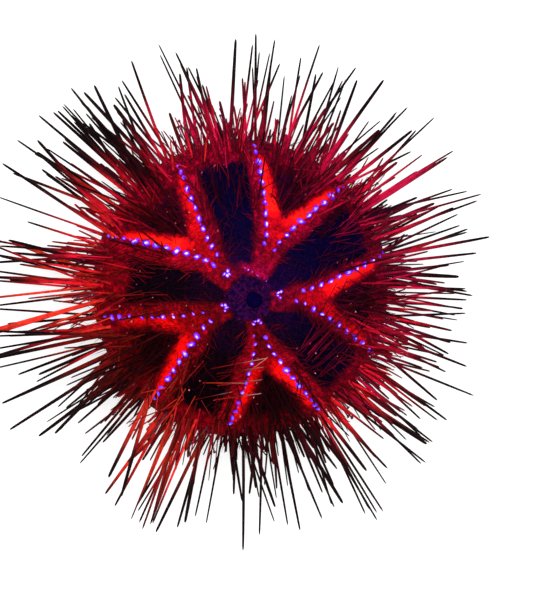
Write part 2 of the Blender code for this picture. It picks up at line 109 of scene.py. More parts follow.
@dataclass(frozen=True)
class ShellShape:
    """Sizes of the shell and its five-fold plan, as its solids have them.

    A tuple of five numbers goes by broad plate, one of ten by row of spots: two rows a plate.
    """

    radius: float = 28.0 * MM
    ambitus: float = 12.6 * MM
    top: float = 25.2 * MM
    bottom: float = 4.6 * MM
    upper_roundness: float = 2.2
    lower_roundness: float = 2.5
    first_plate: float = -9.0
    plate_step: float = 72.0
    broad_half: float = 22.5
    normal_step: float = 0.01
    apical: Pair = (-0.3 * MM, -1.2 * MM)
    apical_pull: Pair = (5.0 * MM, 10.0 * MM)
    anal_offset: Pair = (0.9 * MM, -0.4 * MM)
    periproct_apothem: float = 3.9 * MM
    periproct_corner: float = 4.6 * MM
    peristome_edge: float = 9.0 * MM
    row_start: float = 9.5 * MM
    row_run: float = 15.5 * MM
    row_spread: float = 8.0 * MM
    row_least: float = 1.0 * MM
    row_bend: float = 1.15
    stem_margins: tuple[float, ...] = (1.6, 1.8, 1.8, 1.7, 2.1, 1.5, 1.3, 1.9, 1.2, 1.1)
    margins: tuple[float, ...] = (1.8, 2.0, 2.6, 3.0, 3.5, 3.2, 3.1, 3.1, 3.3, 3.1)
    margin_glow: tuple[float, ...] = (1.6, 1.1, 2.0, 2.0, 2.9, 1.2, 1.3, 1.2, 1.5, 2.2)
    arm_spreads: tuple[float, ...] = (1.1, 1.15, 1.1, 1.0, 1.0, 1.05, 1.0, 1.1, 1.0, 0.95)
    row_glow: tuple[float, ...] = (0.94, 0.58, 0.98, 0.94, 1.05, 0.64, 0.73, 0.61, 0.88, 0.74)
    top_glow: tuple[float, ...] = (0.40, 0.85, 0.50, 0.38, 0.36)
    stem_glow: tuple[float, ...] = (0.45, 0.48, 0.43, 0.30, 0.22)
    wedge_glow: tuple[float, ...] = (0.45, 0.9, 1.0, 0.45, 0.25)

    def power(self, upper: bool) -> float:
        """Exponent of the meridian's curve above or below the ambitus."""
        return 2.0 / (self.upper_roundness if upper else self.lower_roundness)

    def meridian(self, phi: float) -> Pair:
        """Radius and height of the shell at an angle from the top, in radians."""
        upper = phi < pi / 2
        height = self.top if upper else self.bottom
        drop = abs(cos(phi)) ** self.power(upper)
        return self.radius * sin(phi) ** self.power(upper), self.ambitus + (height - self.ambitus) * drop

    def phi_at(self, radius: float, upper: bool = True) -> float:
        """Angle from the top at which the meridian has a radius, above or below the ambitus."""
        phi = math.asin(min(1.0, (radius / self.radius) ** (1.0 / self.power(upper))))
        return phi if upper else pi - phi

    def surface_at(self, azimuth: float, phi: float) -> tuple[Vector, Vector]:
        """Point on the smooth shell and its outward normal.

        Args:
            azimuth: Azimuth in radians.
            phi: Angle from the top in radians.

        Returns:
            The point, with the axis at x = y = 0, and the unit normal.
        """
        before = self.meridian(max(phi - self.normal_step, 0.0))
        after = self.meridian(phi + self.normal_step)
        along = Vector((after[0] - before[0], 0.0, after[1] - before[1]))
        flat = Vector((-along.z, 0.0, along.x)).normalized()
        radius, height = self.meridian(phi)
        return polar(radius, azimuth, height), polar(flat.x, azimuth, flat.z)

    def plate_azimuth(self, number: int) -> float:
        """Middle line of a broad plate, in radians."""
        return radians(self.first_plate + self.plate_step * number)

    def petal_azimuth(self, number: int) -> float:
        """Middle line of the narrow plate that follows a broad one, in radians."""
        return self.plate_azimuth(number) + radians(0.5 * self.plate_step)

    def row_offset(self, along: Array) -> Array:
        """Distance of a row of spots from its plate's middle line, by distance along it."""
        share = np.clip((along - self.row_start) / self.row_run, 0.0, None)
        return self.row_least + self.row_spread * share**self.row_bend

    def from_plate(self, plate: int, along: float, across: float) -> Pair:
        """Place of a point from distances along and across a broad plate's middle line."""
        middle = self.plate_azimuth(plate)
        return along * cos(middle) - across * sin(middle), along * sin(middle) + across * cos(middle)

    def root_at(self, x: float, y: float) -> Pair:
        """Azimuth and angle from the top of the place above the ambitus that lies over a point."""
        return math.atan2(y, x), self.phi_at(hypot(x, y))

    def nearest_plate(self, x: Array, y: Array) -> tuple[Array, Array]:
        """Number of the broad plate nearest to points, and their angle off its middle line."""
        turned = np.degrees(np.arctan2(y, x)) - self.first_plate
        number = np.round(turned / self.plate_step)
        return number, np.radians(turned - self.plate_step * number)

    def plan(self, x: Array, y: Array) -> tuple[Array, Array, Array]:
        """Place of points in the plan of their nearest broad plate.

        Args:
            x: Distances from the axis, in metres.
            y: The same, in the other direction.

        Returns:
            Distance along the plate's middle line, signed distance across it, plate number.
        """
        pull = 1.0 - soft_step(*self.apical_pull, np.hypot(x, y))
        x = x - self.apical[0] * pull
        y = y - self.apical[1] * pull
        number, off = self.nearest_plate(x, y)
        radius = np.hypot(x, y)
        return radius * np.cos(off), radius * np.sin(off), number.astype(int) % 5

    def periproct_edge(self, x: Array, y: Array) -> Array:
        """How far points, from the apical centre, lie outside the five-sided periproct."""
        side = self.periproct_apothem / np.cos(self.nearest_plate(x, y)[1])
        return np.hypot(x, y) - np.minimum(side, self.periproct_corner)


@dataclass
class SkinProfile:
    """Half outline of the skin from the top to the middle of the mouth, by length along it."""

    shape: ShellShape
    steps: int = 400
    oral: Pairs = (
        (8.90, 5.35), (8.75, 6.60), (8.30, 7.35), (7.20, 7.00), (6.00, 6.75), (5.00, 6.60),
        (4.20, 6.70), (3.70, 6.80), (3.50, 6.60), (3.25, 6.20), (2.90, 5.93), (2.60, 5.90),
        (2.30, 5.95), (2.05, 6.20), (1.95, 6.80), (1.90, 7.60), (1.20, 8.20), (0.00, 8.30),
    )

    def __post_init__(self) -> None:
        """Work out the outline and its running length."""
        last = self.shape.phi_at(self.shape.peristome_edge, False)
        angles = np.linspace(0.0, last, self.steps)
        points = [self.shape.meridian(float(phi)) for phi in angles]
        points += [(r * MM, z * MM) for r, z in self.oral]
        self.outline = np.array(points)
        self.angles = np.concatenate([angles, np.linspace(last, pi, len(self.oral) + 1)[1:]])
        hops = np.linalg.norm(np.diff(self.outline, axis=0), axis=1)
        self.run = np.concatenate([[0.0], np.cumsum(hops)])
        self.length = float(self.run[-1])

    def at(self, run: Array) -> tuple[Array, Array, Array]:
        """Radius, height and angle from the top at lengths along the outline."""
        radius = np.interp(run, self.run, self.outline[:, 0])
        height = np.interp(run, self.run, self.outline[:, 1])
        return radius, height, np.interp(run, self.run, self.angles)

    def nearest(self, radius: Array, height: Array) -> Array:
        """Length along the outline nearest to points of a radius and a height."""
        run = np.linspace(0.0, self.length, 3000)
        out, up, _ = self.at(run)
        keys = {}
        for index, key in enumerate(zip(np.round(radius / MM, 4), np.round(height / MM, 4))):
            keys.setdefault(key, []).append(index)
        found = np.zeros(len(radius))
        for (r, z), members in keys.items():
            found[members] = run[np.argmin((out - r * MM) ** 2 + (up - z * MM) ** 2)]
        return found


@dataclass
class SkinForm:
    """The living skin's surface: the smooth shell with its raised bands and sunken petals.

    The curves go by distance along a plate's middle line, in millimetres.
    """

    shape: ShellShape
    foot: Vector
    unwrap_radius: float = 0.47
    band_rise: float = 0.30 * MM
    petal_fall: float = 0.35 * MM
    genital_rise: float = 0.22 * MM
    rim_fall: float = 0.40 * MM
    cushion_rise: float = 0.12 * MM
    band_end: float = radians(50.0)
    short_by: float = radians(8.0)
    petal_width: float = radians(13.0)
    clear_petal: float = radians(27.0)
    dusky_petal: float = radians(99.0)
    short_petal: float = radians(171.0)
    navy_azimuth: float = radians(48.0)
    margin_light: Pairs = ((5.0, 0.5), (8.0, 0.65), (12.0, 0.8), (16.0, 1.05), (21.0, 1.7))
    arm_width: Pairs = ((9.0, 2.2), (13.0, 3.4), (16.0, 2.8), (19.0, 2.1), (24.5, 1.7))
    arm_light: Pairs = ((12.0, 0.6), (14.0, 0.8), (16.0, 1.0), (20.5, 1.0), (22.5, 1.0), (25.0, 0.75))

    def __post_init__(self) -> None:
        """Work out the outline."""
        self.profile = SkinProfile(self.shape)

    def zones(self, azimuth: Array, phi: Array, radius: Array) -> dict[str, Array]:
        """Share of each kind of skin at points, from 0 to 1.

        Args:
            azimuth: Azimuths in radians.
            phi: Angles from the top in radians.
            radius: Distances from the axis in metres.

        Returns:
            Arrays by name: band, margin, petal, genital, periproct, navy, inner, murk, oral,
            and the points' places along and inside the nearest row of spots, in millimetres.
        """
        shape = self.shape
        x, y = radius * np.cos(azimuth), radius * np.sin(azimuth)
        along, across, plate = shape.plan(x, y)
        row = 2 * plate + (across < 0.0)
        reach = along / MM
        inward = (shape.row_offset(along) - np.abs(across)) / MM
        apical_x, apical_y = x - shape.apical[0], y - shape.apical[1]
        from_apex = np.hypot(apical_x, apical_y) / MM
        outside = shape.periproct_edge(apical_x, apical_y) / MM
        past = phi - (self.band_end - self.short_by * bell(0.0, self.petal_width, azimuth - self.short_petal))
        upper = 1.0 - soft_step(0.0, radians(16.0), past)

        grown = soft_step(7.0, 12.5, reach)
        width = np.take(shape.stem_margins, row) * (1.0 - grown) + np.take(shape.margins, row) * grown
        width = width * (0.4 + 0.6 * soft_step(3.5, 8.5, reach))
        petal = soft_step(-0.8, 0.8, -inward - width) * upper
        run = np.clip(-inward / np.maximum(width, 0.1), 0.0, 1.0)
        margin = soft_step(-0.5, 0.3, -inward) * (1.0 - 0.65 * run) * (1.0 - petal) * upper
        margin = margin * np.take(shape.margin_glow, row) * curve(self.margin_light, reach)
        ring = soft_step(0.0, radians(14.0), past) * (1.0 - soft_step(radians(84.0), radians(104.0), phi))
        ring = ring * (1.0 - 0.95 * bell(0.0, self.petal_width, azimuth - self.clear_petal))

        spread = curve(self.arm_width, reach) * np.take(shape.arm_spreads, row)
        forked = soft_step(11.5, 16.0, reach)
        stem = np.take(shape.stem_glow, plate) * soft_step(3.5, 11.0, reach)
        level = curve(self.arm_light, reach) * np.take(shape.row_glow, row) * forked + stem * (1.0 - forked)
        reached = 1.0 - soft_step(0.0, radians(14.0), past - radians(6.0))
        band = soft_step(-0.6, 0.4, inward) * (1.0 - soft_step(spread - 1.3, spread + 1.5, inward))

        centre = (1.0 - soft_step(4.6, 8.6, from_apex)) * soft_step(-0.3, 1.0, outside)
        genital = centre * np.take(shape.top_glow, plate)
        genital = genital * (1.0 - 0.75 * soft_step(0.4, 3.0, np.abs(across) / MM))
        periproct = (1.0 - soft_step(-0.7, 0.4, outside)) * upper
        off_dusky = np.arctan2(apical_y, apical_x) - self.dusky_petal
        between = bell(radians(6.0), radians(19.0), off_dusky) * (1.0 - soft_step(5.5, 9.0, from_apex))
        beside = bell(radians(-7.0), radians(11.0), off_dusky) * (1.0 - soft_step(5.4, 7.6, from_apex))
        petal = petal * (1.0 - 0.95 * np.maximum(0.75 * between, beside))
        genital = np.maximum(genital, 0.26 * between + 0.62 * beside)
        return {
            "band": band * level * reached,
            "margin": (margin * (1.0 - 0.7 * centre) + 0.9 * ring) * (1.0 - periproct),
            "petal": petal * (1.0 - periproct),
            "genital": genital * (1.0 - periproct),
            "periproct": periproct,
            "navy": 0.5 + 0.5 * np.cos(azimuth - self.navy_azimuth),
            "inner": 1.0 - soft_step(7.0, 14.0, from_apex),
            "murk": 1.0 - np.take(shape.wedge_glow, plate),
            "oral": soft_step(radians(150.0), radians(163.0), phi),
            "row_along": reach,
            "row_across": inward,
        }

    def lift(self, azimuth: Array, phi: Array, radius: Array) -> Array:
        """How far the living skin stands above the smooth shell.

        Args:
            azimuth: Azimuths in radians.
            phi: Angles from the top in radians.
            radius: Distances from the axis in metres.

        Returns:
            Heights along the outward normal, in metres.
        """
        zones = self.zones(azimuth, phi, radius)
        inward, reach = zones["row_across"], zones["row_along"]
        apical_x = radius * np.cos(azimuth) - self.shape.apical[0]
        apical_y = radius * np.sin(azimuth) - self.shape.apical[1]
        outside = self.shape.periproct_edge(apical_x, apical_y) / MM
        upper = 1.0 - soft_step(radians(76.0), radians(94.0), phi)
        ridge = bell(0.6, 1.5, inward) * soft_step(8.0, 12.0, reach) * (1.0 - soft_step(22.0, 27.0, reach))
        lift = self.band_rise * ridge * upper
        lift = lift - self.petal_fall * zones["petal"] * soft_step(6.0, 10.0, reach)
        lift = lift + self.genital_rise * zones["genital"]
        cushion = self.rim_fall * (soft_step(0.0, 1.6, -outside) - 1.0) + self.cushion_rise
        inside = 1.0 - soft_step(-0.5, 0.4, outside)
        return lift * (1.0 - inside) + cushion * inside

    def place(self, azimuth: float, phi: float) -> tuple[Vector, Vector]:
        """Point on the living skin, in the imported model's frame, and its outward normal.

        Args:
            azimuth: Azimuth in radians.
            phi: Angle from the top in radians.

        Returns:
            The point and the unit normal.
        """
        point, normal = self.shape.surface_at(azimuth, phi)
        spot = (np.array([value]) for value in (azimuth, phi, hypot(point.x, point.y)))
        return point + normal * float(self.lift(*spot)[0]) + self.foot, normal

    def unwrap(self, azimuth: Array, phi: Array) -> Array:
        """Place of points on the flat map of the skin: a disc from the top out to the mouth."""
        run = np.interp(phi, self.profile.angles, self.profile.run)
        share = self.unwrap_radius * run / self.profile.length
        return np.stack([0.5 + share * np.cos(azimuth), 0.5 + share * np.sin(azimuth)], axis=1)


def deselect_all() -> None:
    """Leave nothing selected, so that an operator acts only on the new piece."""
    if bpy.context.object and bpy.context.object.mode != "OBJECT":
        bpy.ops.object.mode_set(mode="OBJECT")
    bpy.ops.object.select_all(action="DESELECT")


def turn_on_lathe(stations: Pairs, sides: int) -> bpy.types.Object:
    """Build a closed round body by extruding a disc from station to station.

    Args:
        stations: Radius and height of each ring, from the bottom up.
        sides: Number of sides.

    Returns:
        The object, with its faces pointing out.
    """
    deselect_all()
    radius, height = stations[0]
    location = (0, 0, height)
    bpy.ops.mesh.primitive_circle_add(vertices=sides, radius=radius, fill_type="NGON", location=location)
    bpy.ops.object.transform_apply(location=True)
    bpy.ops.object.mode_set(mode="EDIT")
    bpy.ops.mesh.select_all(action="SELECT")
    for next_radius, next_height in stations[1:]:
        bpy.ops.mesh.extrude_region_move(TRANSFORM_OT_translate={"value": (0, 0, next_height - height)})
        scale = next_radius / radius
        bpy.ops.transform.resize(value=(scale, scale, 1.0), center_override=(0, 0, next_height))
        radius, height = next_radius, next_height
    bpy.ops.mesh.select_all(action="SELECT")
    bpy.ops.mesh.normals_make_consistent(inside=False)
    bpy.ops.object.mode_set(mode="OBJECT")
    return bpy.context.object


def read_mesh(mesh: bpy.types.Mesh) -> tuple[Array, Array, Array]:
    """Points of a mesh, the point number of each face corner, and the face that it belongs to."""
    points = np.zeros(len(mesh.vertices) * 3)
    corners = np.zeros(len(mesh.loops), dtype=int)
    sizes = np.zeros(len(mesh.polygons), dtype=int)
    mesh.vertices.foreach_get("co", points)
    mesh.loops.foreach_get("vertex_index", corners)
    mesh.polygons.foreach_get("loop_total", sizes)
    return points.reshape(-1, 3), corners, np.repeat(np.arange(len(sizes)), sizes)


def add_attribute(mesh: bpy.types.Mesh, name: str, values: Array) -> None:
    """Store one number a point."""
    made = mesh.attributes.new(name, "FLOAT", "POINT")
    made.data.foreach_set("value", np.ascontiguousarray(values, dtype=np.float32).ravel())


def add_wrap(mesh: bpy.types.Mesh, name: str, wrap: Array) -> None:
    """Store one UV pair a face corner."""
    made = mesh.uv_layers.new(name=name, do_init=False)
    made.data.foreach_set("uv", np.ascontiguousarray(wrap, dtype=np.float32).ravel())


class Mould:
    """A form made once on the lathe, of unit length and radius, and copied many times."""

    def __init__(self, stations: Pairs, sides: int) -> None:
        """Turn it, keep its mesh as arrays and remove the object.

        Args:
            stations: Radius and height of each ring, from the bottom up.
            sides: Number of sides.
        """
        made = turn_on_lathe(stations, sides)
        self.points, self.corners, face_of = read_mesh(made.data)
        self.sizes = np.bincount(face_of)
        bpy.data.objects.remove(made, do_unlink=True)
        centre = np.zeros((len(self.sizes), 3))
        np.add.at(centre, face_of, self.points[self.corners])
        middle = np.arctan2(centre[:, 1], centre[:, 0])[face_of]
        x, y, z = self.points[self.corners].T
        round_share = (middle + (np.arctan2(y, x) - middle + pi) % TURN - pi) / TURN + 0.5
        self.wrap = np.stack([round_share, z], axis=1)


class Copy(NamedTuple):
    """One copy of a mould.

    Attributes:
        foot: Where its foot is.
        direction: Unit direction that it points in.
        width: Its radius.
        length: Its length.
        place: Azimuth and angle from the top of its root.
        flat: Share of its width that it has across the other way.
        spin: Turn about its own direction, in radians.
        bow: How far its tip is bent aside.
        values: Its number for each attribute of the mesh.
    """

    foot: Vector
    direction: Vector
    width: float
    length: float
    place: Pair
    flat: float = 1.0
    spin: float = 0.0
    bow: Vector = Vector((0.0, 0.0, 0.0))
    values: dict[str, float] = {}


@dataclass
class Growth:
    """Copies of one turned form that grow from the skin and are joined in one piece."""

    seed: ClassVar[int]
    bake_patch: ClassVar[float] = 0.0032

    form: SkinForm

    def __post_init__(self) -> None:
        """Start with none set."""
        self.draw = random.Random(self.seed)
        self.copies: list[Copy] = []

    def aside(self, level: float, lift: float, rise: float) -> Vector:
        """Random push, by its spread over the ground and its mean and spread upwards."""
        gauss = self.draw.gauss
        return Vector((gauss(0.0, level), gauss(0.0, level), gauss(lift, rise)))

    def cast(self, name: str, mould: Mould) -> bpy.types.Object:
        """Make one mesh of all copies set so far, and start again with none.

        Args:
            name: Name of the piece.
            mould: The form to copy.

        Returns:
            The new object at the origin, with its attributes and UV maps. On the map for baking
            each copy has a small patch at its root's place on the flat map of the skin.
        """
        columns = [np.array(column) for column in list(zip(*self.copies))[:-1]]
        foot, direction, width, length, place, flat, spin, bow = columns
        count, size, spin = len(foot), len(mould.points), spin[:, None]
        helper = np.where(np.abs(direction[:, 2:3]) > 0.9, [[1.0, 0.0, 0.0]], [[0.0, 0.0, 1.0]])
        side = np.cross(helper, direction)
        side /= np.linalg.norm(side, axis=1, keepdims=True)
        other = np.cross(direction, side)
        first = (np.cos(spin) * side + np.sin(spin) * other) * width[:, None]
        second = (np.cos(spin) * other - np.sin(spin) * side) * (width * flat)[:, None]
        x, y, z = mould.points.T
        points = foot[:, None, :] + np.einsum("m,ni->nmi", x, first)
        points += np.einsum("m,ni->nmi", y, second) + np.einsum("m,ni->nmi", z, direction * length[:, None])
        points += np.einsum("m,ni->nmi", np.clip(z, 0.0, None) ** 2, bow)

        mesh = bpy.data.meshes.new(name)
        corners = (mould.corners[None, :] + size * np.arange(count)[:, None]).ravel()
        sizes = np.tile(mould.sizes, count)
        mesh.vertices.add(count * size)
        mesh.vertices.foreach_set("co", points.astype(np.float32).ravel())
        mesh.loops.add(len(corners))
        mesh.loops.foreach_set("vertex_index", corners)
        mesh.polygons.add(len(sizes))
        mesh.polygons.foreach_set("loop_start", np.concatenate([[0], np.cumsum(sizes)[:-1]]))
        mesh.polygons.foreach_set("use_smooth", np.full(len(sizes), True))
        mesh.update(calc_edges=True)

        add_wrap(mesh, "Shaft", np.tile(mould.wrap, (count, 1)))
        patch = (mould.wrap - 0.5)[None, :, :] * self.bake_patch
        add_wrap(mesh, "OFBake", (self.form.unwrap(*place.T)[:, None, :] + patch).reshape(-1, 2))
        add_attribute(mesh, "along", np.tile(np.clip(z, 0.0, 1.0), count))
        add_attribute(mesh, "out", np.tile(np.clip(np.hypot(x, y), 0.0, 1.0), count))
        for label in self.copies[0].values:
            add_attribute(mesh, label, np.repeat([copy.values[label] for copy in self.copies], size))
        self.copies = []
        made = bpy.data.objects.new(name, mesh)
        bpy.context.scene.collection.objects.link(made)
        return made


def register(
    piece: bpy.types.Object, finish: bpy.types.Material, slot: str, nodes: tuple[str, ...] = ()
) -> None:
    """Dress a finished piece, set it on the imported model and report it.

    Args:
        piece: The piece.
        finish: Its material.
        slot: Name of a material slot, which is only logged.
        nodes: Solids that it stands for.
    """
    piece.data.materials.append(finish)
    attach(piece, "root")
    if nodes:
        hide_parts(*nodes)
    triangles = sum(len(face.vertices) - 2 for face in piece.data.polygons)
    LOG.info("%s: %d triangles, slot %s", piece.name, triangles, slot)


class Value:
    """Output of a node. Adding, subtracting and multiplying it add Math nodes."""

    def __init__(self, shade: "Shade", socket: bpy.types.NodeSocket) -> None:
        """Take the output and the helper of its tree."""
        self.shade = shade
        self.socket = socket

    def __add__(self, other: object) -> "Value":
        """Sum with a value or a number."""
        return self.shade.math("ADD", self, other)

    def __sub__(self, other: object) -> "Value":
        """Difference to a value or a number."""
        return self.shade.math("SUBTRACT", self, other)

    def __mul__(self, other: object) -> "Value":
        """Product with a value or a number."""
        return self.shade.math("MULTIPLY", self, other)


class Shade:
    """Lays out the nodes of one tree. What it feeds to them is a value, a number or a colour."""

    def __init__(self, tree: bpy.types.NodeTree) -> None:
        """Take the tree."""
        self.tree = tree

    def node(self, kind: str, feeds: dict[object, object], **settings: object) -> bpy.types.Node:
        """Add a node.

        Args:
            kind: Its type.
            feeds: What its inputs get, by their name or number.
            settings: Its properties.

        Returns:
            The node.
        """
        made = self.tree.nodes.new("ShaderNode" + kind)
        made.location = (180.0 * (len(self.tree.nodes) % 12), -220.0 * (len(self.tree.nodes) // 12))
        for name, value in settings.items():
            setattr(made, name, value)
        for key, value in feeds.items():
            self.feed(value, made.inputs[key])
        return made

    def feed(self, value: object, target: bpy.types.NodeSocket) -> None:
        """Link a value, or set a number or colour, as an input."""
        if isinstance(value, Value):
            self.tree.links.new(value.socket, target)
        elif isinstance(value, tuple) and target.type == "RGBA":
            target.default_value = (*value, 1.0)
        else:
            target.default_value = value

    def read(self, node: bpy.types.Node, key: object = 0) -> Value:
        """Value of a node's output, by its name or number."""
        return Value(self, node.outputs[key])

    def attribute(self, name: str) -> Value:
        """Value of a mesh attribute."""
        return self.read(self.node("Attribute", {}, attribute_name=name), "Fac")

    def math(self, operation: str, *terms: object) -> Value:
        """Result of a Math node on some terms."""
        return self.read(self.node("Math", dict(enumerate(terms)), operation=operation))

    def ramp(self, factor: Value, *stops: tuple[float, Colour]) -> Value:
        """Colour of a ramp, from the place and colour of each stop."""
        made = self.node("ValToRGB", {0: factor})
        elements = made.color_ramp.elements
        while len(elements) < len(stops):
            elements.new(0.5)
        for element, (place, colour) in zip(elements, stops):
            element.position = place
            element.color = (*colour, 1.0)
        return self.read(made)

    def mask(self, value: Value, low: float, high: float) -> Value:
        """Smooth step from 0 at low to 1 at high."""
        feeds = {"Value": value, "From Min": low, "From Max": high}
        return self.read(self.node("MapRange", feeds, interpolation_type="SMOOTHSTEP"))

    def mix(self, factor: object, first: object, second: object, blend: str = "MIX") -> Value:
        """Mix of two colours, with the factor as the second one's share."""
        feeds = {0: factor, 6: first, 7: second}
        return self.read(self.node("Mix", feeds, data_type="RGBA", blend_type=blend), 2)

    def noise(self, scale: object, detail: float, rough: float, place: Value | None = None) -> Value:
        """Noise on object coordinates or another vector."""
        feeds = {"Vector": place or self.place(), "Scale": scale, "Detail": detail, "Roughness": rough}
        return self.read(self.node("TexNoise", feeds))

    def place(self) -> Value:
        """Object coordinates."""
        return self.read(self.node("TexCoord", {}), "Object")


class Paint(Shade):
    """A material with one Principled shader, and the helper of its tree."""

    def __init__(self, name: str, rough: float, specular: float) -> None:
        """Make the material with a roughness and a specular level."""
        self.material = bpy.data.materials.new(name)
        self.material.use_nodes = True
        super().__init__(self.material.node_tree)
        self.shader = self.tree.nodes["Principled BSDF"]
        self.set("Roughness", rough)
        self.set("Specular IOR Level", specular)

    def set(self, label: str, value: object) -> None:
        """Feed an input of the shader."""
        self.feed(value, self.shader.inputs[label])

    def bump(self, height: Value, depth: float) -> None:
        """Feed a height through a Bump node to the shader's normal."""
        feeds = {"Strength": 1.0, "Distance": depth, "Height": height}
        self.set("Normal", self.read(self.node("Bump", feeds)))

    def mottle(self, size: float, grain: float) -> tuple[Value, Value]:
        """Mottle and height of the shared skin effect, by its patches and grains a metre."""
        feeds = {"Size": size, "Grain": grain}
        made = self.node("Group", feeds, node_tree=bpy.data.node_groups[MOTTLE_GROUP])
        return self.read(made, "Mottle"), self.read(made, "Height")


def add_mottle_group() -> None:
    """Build the shared effect: living skin's mottling and grains, as a mask and a height."""
    tree = bpy.data.node_groups.new(MOTTLE_GROUP, "ShaderNodeTree")
    for name, way in (("Size", "INPUT"), ("Grain", "INPUT"), ("Mottle", "OUTPUT"), ("Height", "OUTPUT")):
        tree.interface.new_socket(name=name, in_out=way, socket_type="NodeSocketFloat")
    shade = Shade(tree)
    given, result = tree.nodes.new("NodeGroupInput"), tree.nodes.new("NodeGroupOutput")
    patches = shade.noise(shade.read(given, "Size"), 4.0, 0.62)
    feeds = {"Vector": shade.place(), "Scale": shade.read(given, "Grain")}
    grains = shade.node("TexVoronoi", feeds, feature="SMOOTH_F1")
    domes = shade.math("SUBTRACT", 1.0, shade.read(grains, "Distance"))
    shade.feed(patches, result.inputs["Mottle"])
    shade.feed(domes * 0.6 + patches * 0.5, result.inputs["Height"])


@dataclass(frozen=True)
class SkinFinish:
    """The skin's colours: scarlet bands, navy petals, maroon wedges, crimson top plates."""

    fold: Colour = (0.006, 0.0002, 0.004)
    wedge: Colour = (0.040, 0.0004, 0.010)
    violet: Colour = (0.030, 0.0004, 0.026)
    dim: Colour = (0.15, 0.0004, 0.009)
    stem: Colour = (0.40, 0.0008, 0.006)
    band: Colour = (1.0, 0.003, 0.007)
    bright: Colour = (1.0, 0.012, 0.006)
    margin: Colour = (0.48, 0.0008, 0.022)
    petal: Colour = (0.0006, 0.0002, 0.015)
    dusky: Colour = (0.0022, 0.0002, 0.003)
    fleck: Colour = (0.018, 0.0004, 0.028)
    genital: Colour = (0.45, 0.0010, 0.034)
    periproct: Colour = (0.030, 0.0006, 0.034)
    oral: Colour = (0.13, 0.022, 0.022)
    speck_tint: Colour = (0.20, 0.2, 0.5)
    # Painted warm light on the skin's side away from the navy azimuth: blue is cut there.
    painted_warm_light_tint: Colour = (1.0, 1.0, 0.30)
    relief: float = 0.16 * MM

    def build(self) -> bpy.types.Material:
        """Build the material, from the wedges up to the middle of the top and the mouth.

        Returns:
            The material.
        """
        paint = Paint("skin", 0.7, 0.012)
        share, mask, mix = paint.attribute, paint.mask, paint.mix
        patches, height = paint.mottle(420.0, 1900.0)
        fine = paint.noise(1300.0, 4.0, 0.7)
        grain = paint.noise(4500.0, 2.0, 0.7)
        ragged = fine * 0.6 - 0.5 + grain * 0.4
        along_row = paint.node("CombineXYZ", {0: share("row_along") * 5.0, 1: share("row_across") * 0.6})
        hairs = paint.noise(1.0, 3.0, 0.7, paint.read(along_row))

        clear = paint.math("SUBTRACT", 1.0, share("murk"))
        tinted = mix(mask(share("navy"), 0.45, 0.85), self.wedge, self.violet)
        colour = mix(mask(patches, 0.36, 0.70) * clear, self.fold, tinted)
        colour = mix(mask(fine + ragged, 0.52, 0.85) * clear, colour, self.dim)
        edge = share("margin")
        hem = edge * (mask(hairs, 0.35, 0.70) * 0.8 + 0.3) * (mask(patches, 0.35, 0.65) * 0.8 + 0.5)
        colour = mix(hem, mix(mask(edge, 0.0, 0.25), colour, self.fold), self.margin)
        colour = mix(share("genital") * ((patches + fine) * 1.7 - 0.75), colour, self.genital)

        blue = paint.math("MAXIMUM", share("navy"), share("inner"))
        petal = mix(mask(blue, 0.05, 0.70), self.dusky, self.petal)
        petal = mix(mask(share("inner") * 0.10 + grain, 0.53, 0.70), petal, self.fleck)
        colour = mix(mask(ragged * 2.2 + share("petal"), 0.26, 0.74), colour, petal)

        band = share("band")
        uneven = (patches + (hairs + fine) * 0.5) * 0.60 - 0.58
        glow = band * (uneven * (mask(band, 0.35, 0.85) * -2.0 + 3.4) + 1.0)
        stops = ((0.0, self.wedge), (0.22, self.dim), (0.50, self.stem), (0.80, self.band))
        ramp = paint.ramp(glow, *stops, (1.0, self.bright))
        colour = mix(mask(band, 0.0, 0.30), colour, ramp)
        speck = mask(paint.noise(1500.0, 5.0, 0.85), 0.58, 0.44) * (mask(band, 0.3, 0.9) * -0.45 + 0.88)
        colour = mix(speck, colour, mix(1.0, colour, self.speck_tint, "MULTIPLY"))
        # Painted warm light: the side away from the navy azimuth loses blue.
        colour = mix(mask(share("navy"), 0.85, 0.10), colour, mix(1.0, colour, self.painted_warm_light_tint, "MULTIPLY"))

        middle = mix(mask(fine, 0.40, 0.62), self.petal, self.periproct)
        colour = mix(mask(ragged * 2.8 + share("periproct"), 0.3, 0.7), colour, middle)
        paint.set("Base Color", mix(share("oral"), colour, mix(patches, self.margin, self.oral)))
        paint.bump(height, self.relief)
        return paint.material


@dataclass(frozen=True)
class SpotFinish:
    """Iridescent blue spots: pale lavender in the middle, deep blue at the rim, with a painted glow."""

    heart: Colour = (0.76, 0.62, 1.0)
    deep_heart: Colour = (0.12, 0.07, 1.0)
    rim: Colour = (0.14, 0.025, 1.0)
    edge: Colour = (0.11, 0.0, 0.66)
    # Strength of the painted glow: the spots emit light though they are no lamp.
    glow: float = 0.25

    def build(self) -> bpy.types.Material:
        """Build the material."""
        paint = Paint("blue_spot", 0.4, 0.15)
        out = paint.attribute("out") + (paint.noise(2300.0, 3.0, 0.6) * 0.9 - 0.45)
        pale = paint.ramp(out, (0.16, self.heart), (0.54, self.rim), (0.90, self.edge))
        deep = paint.ramp(out, (0.10, self.deep_heart), (0.5, self.rim), (0.95, self.edge))
        colour = paint.mix(paint.attribute("deep"), pale, deep)
        paint.set("Base Color", colour)
        # Painted glow: the spots emit their own colour.
        paint.set("Emission Color", colour)
        paint.set("Emission Strength", self.glow)
        return paint.material


